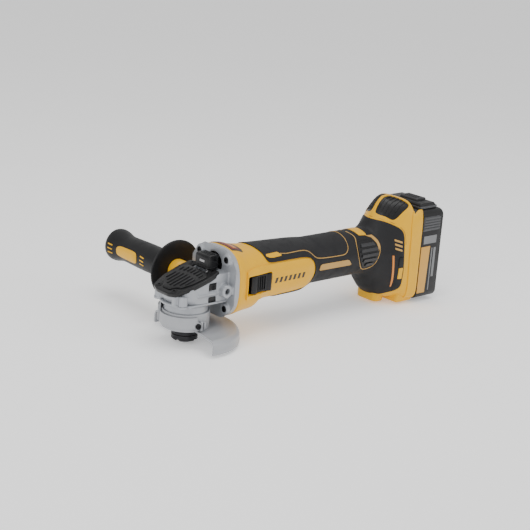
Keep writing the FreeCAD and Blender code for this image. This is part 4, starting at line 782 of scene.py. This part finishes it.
CAP = [(18.4, 70.8), (18.4, 83), (19.2, 85.4), (21.4, 86.2), (32.7, 86.2), (32.7, 70.8)]
cap = plate("lock_cap", CAP, -11.4, 11.4, "y", edge=0.8)
skirt = plate("lock_skirt", box_outline(17.9, -11.9, 32.5, 11.9), 70.5, 72.8, edge=0.5)
cap_ribs = [
    plate("cap_rib", box_outline(x, -8, x + 1.6, 8), 85.8, 86.8, edge=0.4) for x in (22.6, 25.8, 29)
]
cap = joined("lock_button", cap, skirt, *cap_ribs)
slot_cut = plate("slot_cut", box_outline(-4.6, 77, 4.6, 80.2), 16, 19.4, "x", corner=0.6)
combined(cap, "DIFFERENCE", slot_cut, crossing=True)
fit(cap, satin_black, "lock", "black_plastic", "spindle_lock_button")
# A light grey strip fills the slot in the cap's front face.
grey_strip = surface("grey_strip", (0.42, 0.42, 0.42), (0.52, 0.52, 0.52), 0.4, 1800, 1e-5)
lock_strip = plate("lock_strip", box_outline(-4.2, 77.4, 4.2, 79.8), 18.6, 19.6, "x", corner=0.5, edge=0.1)
fit(lock_strip, grey_strip, "lock", "black_plastic")
ARCH_Z, ARCH_SIDES = 73.6, 48
liner_back = plate("liner_back", round_outline(0, ARCH_Z, 12.9, ARCH_SIDES), 39.2, 40.3, "x", edge=0.2)
liner_wall = plate("liner_wall", round_outline(0, ARCH_Z, 13.1, ARCH_SIDES), 36.3, 40.3, "x")
liner_hole = plate("liner_hole", round_outline(0, ARCH_Z, 12.1, ARCH_SIDES), 30, 45, "x")
combined(liner_wall, "DIFFERENCE", liner_hole)
fit(joined("lock_liner", liner_back, liner_wall), satin_black, "housing", "black_plastic")

# ---- Wheel guard ----
# Steel sheet spun to a half pan with a rolled lip and painted light grey. It is welded to a
# collar that turns on the neck, and a sprung lever round the collar locks it.

guard_paint = surface("guard_paint", (0.35, 0.36, 0.38), (0.43, 0.44, 0.46), 0.36, 1100, 3e-5,
                      Metallic=0.2)
GUARD_R, GUARD_TOP, GUARD_LOW, GUARD_WALL, GUARD_SHOULDER = 60.5, 8, -8, 2, 7
GUARD_START, GUARD_SWEEP, GUARD_STEPS = -97, 184, 76


def shoulder_points(radius, steps=8):
    """The round shoulder of the guard's section, from its flat top outwards."""
    middle_r, middle_z = GUARD_R - GUARD_SHOULDER, GUARD_TOP - GUARD_SHOULDER
    turns = [math.pi / 2 * i / steps for i in range(steps, -1, -1)]
    return [(middle_r + radius * math.cos(turn), middle_z + radius * math.sin(turn)) for turn in turns]


def round_spindle(turn, section):
    """A section of (radius, height) in millimetres, set at a turn round the spindle."""
    return [Vector((r * math.cos(turn), r * math.sin(turn), z)) * mm for r, z in section]


guard_section = [
    (18.5, GUARD_TOP - GUARD_WALL), (18.5, GUARD_TOP), (30, GUARD_TOP), (31.2, GUARD_TOP + 0.5),
    (44, GUARD_TOP + 0.5), (45.2, GUARD_TOP),
    *shoulder_points(GUARD_SHOULDER),
    (GUARD_R, -2.6), (GUARD_R + 0.35, -3.4), (GUARD_R + 0.35, -6.6), (GUARD_R + 0.1, GUARD_LOW + 0.4),
    (GUARD_R - 0.6, GUARD_LOW), (GUARD_R - 2.6, GUARD_LOW), (GUARD_R - 3.2, GUARD_LOW + 0.5),
    (GUARD_R - 3.2, GUARD_LOW + 1.2), (GUARD_R - GUARD_WALL, GUARD_LOW + 2.4),
    *shoulder_points(GUARD_SHOULDER - GUARD_WALL)[::-1],
]
guard = ringed("spun_guard", [
    round_spindle(math.radians(GUARD_START + GUARD_SWEEP * i / GUARD_STEPS), guard_section)
    for i in range(GUARD_STEPS + 1)
])
fit(guard, guard_paint, "guard", "guard_grey", "wheel_guard")
collar = softened("guard_collar_ring", "guard_collar", 0.5, smoothing=2)
fit(collar, guard_paint, "guard", "guard_grey", "guard_collar", angle=60)
lever = softened("guard_lever_strap", "guard_release_lever", 0.4, smoothing=2)
fit(lever, guard_paint, "guard_lever", "guard_grey", "guard_release_lever", angle=60)


def arc_strap(name, start, end, r_low, r_high, z_low, z_high, steps=12):
    """A strap bent round the spindle, between two turns in degrees."""
    section = [(r_low, z_low), (r_high, z_low), (r_high, z_high), (r_low, z_high)]
    turns = [math.radians(start + (end - start) * i / steps) for i in range(steps + 1)]
    return bevelled(ringed(name, [round_spindle(turn, section) for turn in turns]), 0.7, angle=40)


flap = joined(
    "lever_flap",
    arc_strap("flap_root", 112, 132, 27.2, 29, 15, 28),
    arc_strap("flap_end", 129, 147, 28.2, 30.6, 12.4, 31.4),
)
fit(flap, guard_paint, "guard_lever", "guard_grey")
ears = joined("clamp_ears", *[
    arc_strap("ear", start, start + 5, 26, 30.4, low, high, steps=3)
    for start, low, high in ((-93, 9.4, 20.6), (-84, 10.4, 18.8))
])
fit(ears, guard_paint, "guard", "guard_grey")

# ---- Side handle ----
# A steel stud moulded into black plastic: a yellow hub against the gear case, a wide disc
# that keeps the hand back, and a waisted grip with soft yellow inlays.

HANDLE_X, HANDLE_Z = 29, 51


def lathed(name, profile, count=64):
    """A piece turned about the side handle's axis from (radius, distance along it)."""
    return ringed(name, [
        [Vector((HANDLE_X + radius * math.cos(turn), y, HANDLE_Z + radius * math.sin(turn))) * mm
         for turn in turns_round(count)]
        for radius, y in profile
    ])


HUB = [(4.5, 35.7), (6, 35.7), (6.4, 36.1), (6.4, 39.8), (7.6, 40.8), (11.6, 45.6), (12.4, 46.8),
       (12.8, 48), (12.8, 56.6), (4.5, 56.6)]
fit(lathed("handle_boss", HUB), yellow, "side_handle", "yellow_plastic", "handle_hub")

handle_black = surface("handle_black", (0.0055, 0.0055, 0.006), (0.012, 0.012, 0.013), 0.42, 1300, 6e-5,
                       Specular_IOR_Level=0.3)
GRIP = [(14.8, 64), (14.9, 66), (15.3, 72), (16, 84), (16.5, 96), (16.6, 108), (16.4, 122),
        (16, 136), (15.8, 146), (16.1, 152), (17.2, 158), (18.6, 163), (19.2, 167), (19.3, 170),
        (18.8, 172.4), (17.4, 174), (15, 174.6)]
DISC = [(4.5, 56.7), (24, 56.7), (32.4, 57.2), (33.8, 57.8), (34.4, 58.8), (34.2, 59.9),
        (33.2, 60.6), (24, 61.4), (17.6, 62.2), (15.6, 63.2)]
grip = lathed("handle_body", DISC + GRIP + [(14.2, 174.5), (13.4, 173.6), (0.4, 173.2)])
fit(grip, handle_black, "side_handle", "black_plastic", "handle_grip")


def grip_radius(y):
    """The grip's radius at a distance along it."""
    for (radius, start), (next_radius, end) in zip(GRIP, GRIP[1:]):
        if start <= y <= end:
            return radius + (next_radius - radius) * (y - start) / (end - start)


def handle_layer(name, y_low, y_high, lift):
    """A thin layer over the grip between two distances."""
    between = [(r, y) for r, y in GRIP if y_low < y < y_high]
    ends = [(grip_radius(y_low), y_low)] + between + [(grip_radius(y_high), y_high)]
    outer = [(r + lift, y) for r, y in ends]
    inner = [(r - 1, y) for r, y in reversed(ends)]
    return lathed(name, outer + inner + outer[:1])


INLAY = [(112, 50), (113.4, 55), (118, 57.4), (132, 57.4), (146, 56.8), (151.4, 54.8),
         (152.4, 50.6), (151.4, 46.2), (146, 44.4), (132, 43.8), (118, 44), (113.4, 45.6)]
HANDLE_LOW, HANDLE_HIGH = -10, 70
inlay_room = plate("inlay_room", smooth_outline(INLAY, 3), HANDLE_LOW, HANDLE_HIGH, "x")
grip_inlay = combined(handle_layer("grip_inlay", 108, 156, 0.55), "INTERSECT", inlay_room)
bevelled(grip_inlay, 0.25, 2)


def grip_dashes(name, y_low, y_high, front, rear, heights):
    """Three slanted dashes on each side of the grip."""
    rooms = [
        plate("dash", [(front, z), (rear, z + 0.9), (rear, z + 2.2), (front, z + 1.3)],
              HANDLE_LOW, HANDLE_HIGH, "x", corner=0.5)
        for z in heights
    ]
    return combined(handle_layer(name, y_low, y_high, 0.4), "INTERSECT", *rooms)


front_dashes = grip_dashes("front_dashes", 96, 108, 98.4, 105.8, (45.4, 49.8, 54.2))
rear_dashes = grip_dashes("rear_dashes", 157, 169, 159.6, 166.6, (44.6, 49.6, 54.6))
handle_inlays = joined("handle_inlays", grip_inlay, front_dashes, rear_dashes)
fit(handle_inlays, yellow, "side_handle", "yellow_plastic")

# ---- Battery pack ----
# Two nylon shells around ten cells: black, with dark grey grip panels on its sides, a wide
# blank yellow label, and a latch block on top.

pack_black = surface("pack_black", (0.006, 0.006, 0.0065), (0.013, 0.013, 0.014), 0.40, 1700, 4e-5,
                     Specular_IOR_Level=0.35)
pack_grey = surface("pack_grey", (0.050, 0.051, 0.055), (0.078, 0.080, 0.085), 0.44, 1500, 5e-5)
label_yellow = surface("label_yellow", (0.60, 0.31, 0.045), (0.68, 0.37, 0.06), 0.40, 1200, 8e-6)
pack_outline = box_outline(-37.6, -7, 37.6, 106)
pack = plate("pack_shell", pack_outline, 332.8, 369.6, "x", corner=8.5, edge=1.8, steps=4)
CROWN = [(334.8, 102), (334.8, 111.8), (337, 113.2), (360, 113.2), (363.6, 110.4), (364.4, 102)]
combined(pack, "UNION", plate("pack_crown", CROWN, -28.4, 28.4, "y", edge=1.8, steps=4))


def at_corners(name, radius, low, high, sides=32, edge=0.0):
    """Round pieces at the four corners of the pack's back, where its screws are."""
    return [
        plate(name, round_outline(y, z, radius, sides), low, high, "x", edge=edge)
        for y in (-29, 29) for z in (0.6, 98.4)
    ]


FINGER_SCOOP = [(372, 20), (368.4, 24), (368, 30), (368, 58), (368.4, 64), (372, 68)]
rooms = [
    plate("latch_room", box_outline(342.2, -14.5, 360.2, 14.5), 105.4, 130, corner=1),
    *at_corners("screw_room", 2.9, 363.6, 380),
    plate("gauge_room", round_outline(0, 7, 5.3), 367.6, 380, "x"),
    plate("finger_scoop", FINGER_SCOOP, -24, 24, "y", edge=1),
]
combined(pack, "DIFFERENCE", *rooms)
fit(pack, pack_black, "battery", "dark_grey_plastic", "battery_case")
pack_screws = joined("pack_screws", *at_corners("pack_screw", 2.7, 350, 365.4, edge=0.4))
combined(pack_screws, "DIFFERENCE", *at_corners("socket", 1.3, 363.8, 370, sides=6))

# Ribbed panels for the hand stand on its sides, and a band runs round its crown.
GRIP_PANEL = [(333.6, 80.6), (362, 80.6), (363.6, 83), (363.6, 95), (361, 98.6), (333.6, 98.6)]
panel_parts = [plate("pack_panel", GRIP_PANEL, 37.2, 38.1, "y", corner=1, edge=0.25)]
bar_outlines = [box_outline(334.2, 81.8 + 3.4 * i, 363, 84 + 3.4 * i) for i in range(5)]
panel_parts += [plate("panel_bar", bar, 37.9, 39, "y", corner=0.6, edge=0.35) for bar in bar_outlines]
crown_band = plate("crown_band", box_outline(334.2, -29.4, 365, 29.4), 106.6, 109.6, corner=2, edge=0.5)
combined(crown_band, "DIFFERENCE", plate("band_core", box_outline(336, -27.6, 363, 27.6), 100, 120))
pack_grips = paired("pack_grips", joined("pack_panel", *panel_parts), crown_band)
fit(pack_grips, pack_grey, "battery", "dark_grey_plastic")

# The blank label and the grey bars beside it are film, in pairs.
LABEL = [(333.8, 1), (347.4, 1), (349.8, 60.6), (333.8, 60.6)]
labels = paired("pack_labels", plate("label", LABEL, 37.4, 37.95, "y", corner=0.6, edge=0.1))
fit(labels, label_yellow, "battery", "yellow_plastic")
print_grey = surface("print_grey", (0.16, 0.165, 0.17), (0.22, 0.225, 0.23), 0.42, 1400, 8e-6)
BARS = ((352.6, 3, 354.4, 58), (337, 64, 360, 74), (356.6, 20, 360.6, 58))
bars = [plate("bar", box_outline(*bar), 37.4, 37.85, "y", corner=0.4) for bar in BARS]
fit(paired("pack_marks", joined("bars", *bars)), print_grey, "battery", "dark_grey_plastic")

# The latch's button and the charge gauge's three lenses.
LATCH = [(342.7, 109), (342.7, 114.8), (344.4, 116), (358, 116), (359.7, 114.8), (359.7, 109)]
latch_parts = [plate("latch_key", LATCH, -14, 14, "y", edge=0.7)]
latch_parts += [
    plate("latch_rib", box_outline(x, -10, x + 1.5, 10), 115.6, 116.7, edge=0.35)
    for x in (346.4, 349.8, 353.2)
]
latch = joined("latch_key", *latch_parts)
fit(latch, light_nylon_and_rib_highlight, "battery_latch", "black_plastic", "battery_latch_button")
lens_green = surface("gauge_lens", (0.05, 0.16, 0.06), (0.07, 0.22, 0.09), 0.22, 1500, 6e-6)
lenses = [
    plate("lens", round_outline(y, 7, 1.7, 20), 369.2, 369.9, "x", edge=0.2) for y in (10, 15, 20)
]
fit(joined("gauge_lenses", *lenses), lens_green, "battery", "dark_grey_plastic")

# ---- Metal and inner pieces ----
# Turned steel, blacked flanges, laminated iron, copper coils and the boards keep the shapes
# that they were designed with, each with its own finish.


def metal(name, dark, light, roughness, marks=1400, **constants):
    """Turned or pressed metal: fine rings in its gloss, and stains in its colour."""
    finish = Finish(name, Metallic=0.9, **constants)
    stains = finish.noise(120, 5)
    rings = finish.noise(marks, 2, stretch=(1.0, 1.0, 0.12))
    finish.set(Base_Color=finish.mix(stains, dark, light), Roughness=rings * 0.22 + (roughness - 0.11))
    return finish.bump(rings, 8e-6)


WAVES_PER_PITCH = 0.314


def banded(name, dark, light, axis, pitch, roughness, metallic, depth):
    """Stacked sheets or wound wire: even bands across an axis."""
    finish = Finish(name, Metallic=metallic)
    settings = {"bands_direction": axis, "wave_profile": "SIN"}
    inputs = {"Vector": finish.place, "Scale": WAVES_PER_PITCH / pitch, "Distortion": 0.4, "Detail": 1.0}
    bands = finish.node("TexWave", settings, inputs, output="Fac")
    clouds = finish.noise(300, 3)
    finish.set(Base_Color=finish.mix(bands * 0.7 + clouds * 0.3, dark, light),
               Roughness=clouds * 0.2 + (roughness - 0.1))
    return finish.bump(bands, depth)


steel = metal("turned_steel", (0.42, 0.42, 0.43), (0.60, 0.60, 0.60), 0.26)
screw_steel = metal("screw_steel", (0.020, 0.020, 0.021), (0.040, 0.040, 0.042), 0.34, 2400)
fit(pack_screws, screw_steel, "battery", "screw_steel", "battery_screws")
black_oxide = metal("black_oxide", (0.022, 0.022, 0.024), (0.050, 0.050, 0.054), 0.42, 1800)
iron = banded("iron_sheets", (0.16, 0.16, 0.17), (0.34, 0.34, 0.35), "X", 0.0006, 0.42, 0.8, 4e-5)
copper = banded("copper_wire", (0.34, 0.10, 0.035), (0.72, 0.30, 0.12), "Y", 0.0008, 0.30, 0.9, 1.5e-4)
brass = metal("brass", (0.52, 0.36, 0.12), (0.70, 0.52, 0.22), 0.28)
board = surface("board_green", (0.010, 0.085, 0.035), (0.022, 0.15, 0.06), 0.34, 700, 5e-5)
sleeve = surface("cell_sleeve", (0.02, 0.10, 0.28), (0.03, 0.14, 0.36), 0.28, 300, 2e-5)
inner_black = surface("inner_nylon", (0.020, 0.020, 0.022), (0.036, 0.036, 0.039), 0.50, 1500, 4e-5)
lead_red = surface("lead_jacket", (0.30, 0.02, 0.015), (0.44, 0.04, 0.025), 0.40, 900, 2e-5)

CAD_FINISHES = [
    (steel, "spindle motor_shaft pinion crown_gear spindle_lock_pin lock_spring handle_stud"),
    (steel, "bearing_retainer lower_bearing upper_bearing motor_front_bearing motor_rear_bearing"),
    (screw_steel, "top_plate_screws gear_case_screws bearing_box_screws housing_screws guard_lever_screw"),
    (black_oxide, "backing_flange clamp_nut"),
    (iron, "stator rotor_core"),
    (copper, "stator_windings"),
    (brass, "battery_contacts"),
    (board, "controller_board battery_board"),
    (sleeve, "battery_cells"),
    (lead_red, "wiring"),
    (inner_black, "cooling_fan fan_baffle switch_module switch_rod terminal_block"),
    (inner_black, "cell_holder battery_rail_cover"),
    (light_nylon_and_rib_highlight, "gauge_button"),
]
for finish, names in CAD_FINISHES:
    for name in names.split():
        nodes[name].data.materials.clear()
        nodes[name].data.materials.append(finish.material)

# ---- Floor, lights and camera ----
# The tool stands on its spindle and foot on a pale floor, under wide soft lamps.

bpy.ops.object.select_all(action="DESELECT")
FLOOR_Z = -0.0112
bpy.ops.mesh.primitive_plane_add(size=12.0, location=(0.15, 0.0, FLOOR_Z))
floor = bpy.context.object
floor.name = "studio_floor"
bpy.ops.object.transform_apply(location=True, rotation=True, scale=True)
WHITE = (1.0, 1.0, 1.0, 1.0)
floor_finish = Finish("studio_floor", Roughness=0.85, Emission_Color=WHITE, Emission_Strength=0.35)
floor_clouds = floor_finish.noise(3.0, 2)
floor_finish.set(Base_Color=floor_finish.mix(floor_clouds, (0.90, 0.90, 0.90), (0.93, 0.93, 0.93)))
floor.data.materials.append(floor_finish.material)

world = bpy.context.scene.world or bpy.data.worlds.new("studio")
bpy.context.scene.world = world
world.use_nodes = True
background = world.node_tree.nodes["Background"]
background.inputs["Color"].default_value = WHITE
background.inputs["Strength"].default_value = 0.70
AIM = Vector((0.15, 0.0, 0.05))
for name, place, power, size in (
    ("top_lamp", (0.15, -0.15, 1.5), 11.0, 1.0),
    ("left_lamp", (-1.3, -0.5, 0.9), 7.0, 0.8),
    ("right_lamp", (0.9, -1.4, 0.8), 4.0, 0.8),
):
    bpy.ops.object.light_add(type="AREA", location=place)
    lamp = bpy.context.object
    lamp.name = name
    lamp.data.energy = power
    lamp.data.size = size
    lamp.rotation_euler = (AIM - Vector(place)).to_track_quat("-Z", "Y").to_euler()

# The camera stands off the front left of the tool and leans a little to one side.
CAMERA_PLACE, LENS, SENSOR = (-0.8415, -1.0533, 0.4881), 88.42, 36.0
AZIMUTH, ELEVATION, ROLL = math.radians(-42.14), math.radians(16.77), math.radians(4.22)
right = Vector((math.cos(AZIMUTH), math.sin(AZIMUTH), 0.0))
back = Vector((math.sin(AZIMUTH) * math.cos(ELEVATION), -math.cos(AZIMUTH) * math.cos(ELEVATION),
               math.sin(ELEVATION)))
up = back.cross(right)
tilted_right = right * math.cos(ROLL) + up * math.sin(ROLL)
tilted_up = up * math.cos(ROLL) - right * math.sin(ROLL)
facing = Matrix((tilted_right, tilted_up, back)).transposed()
bpy.ops.object.camera_add()
camera = bpy.context.object
camera.name = "studio_camera"
camera.matrix_world = Matrix.Translation(CAMERA_PLACE) @ facing.to_4x4()
camera.data.sensor_width = SENSOR
camera.data.lens = LENS
bpy.context.scene.camera = camera
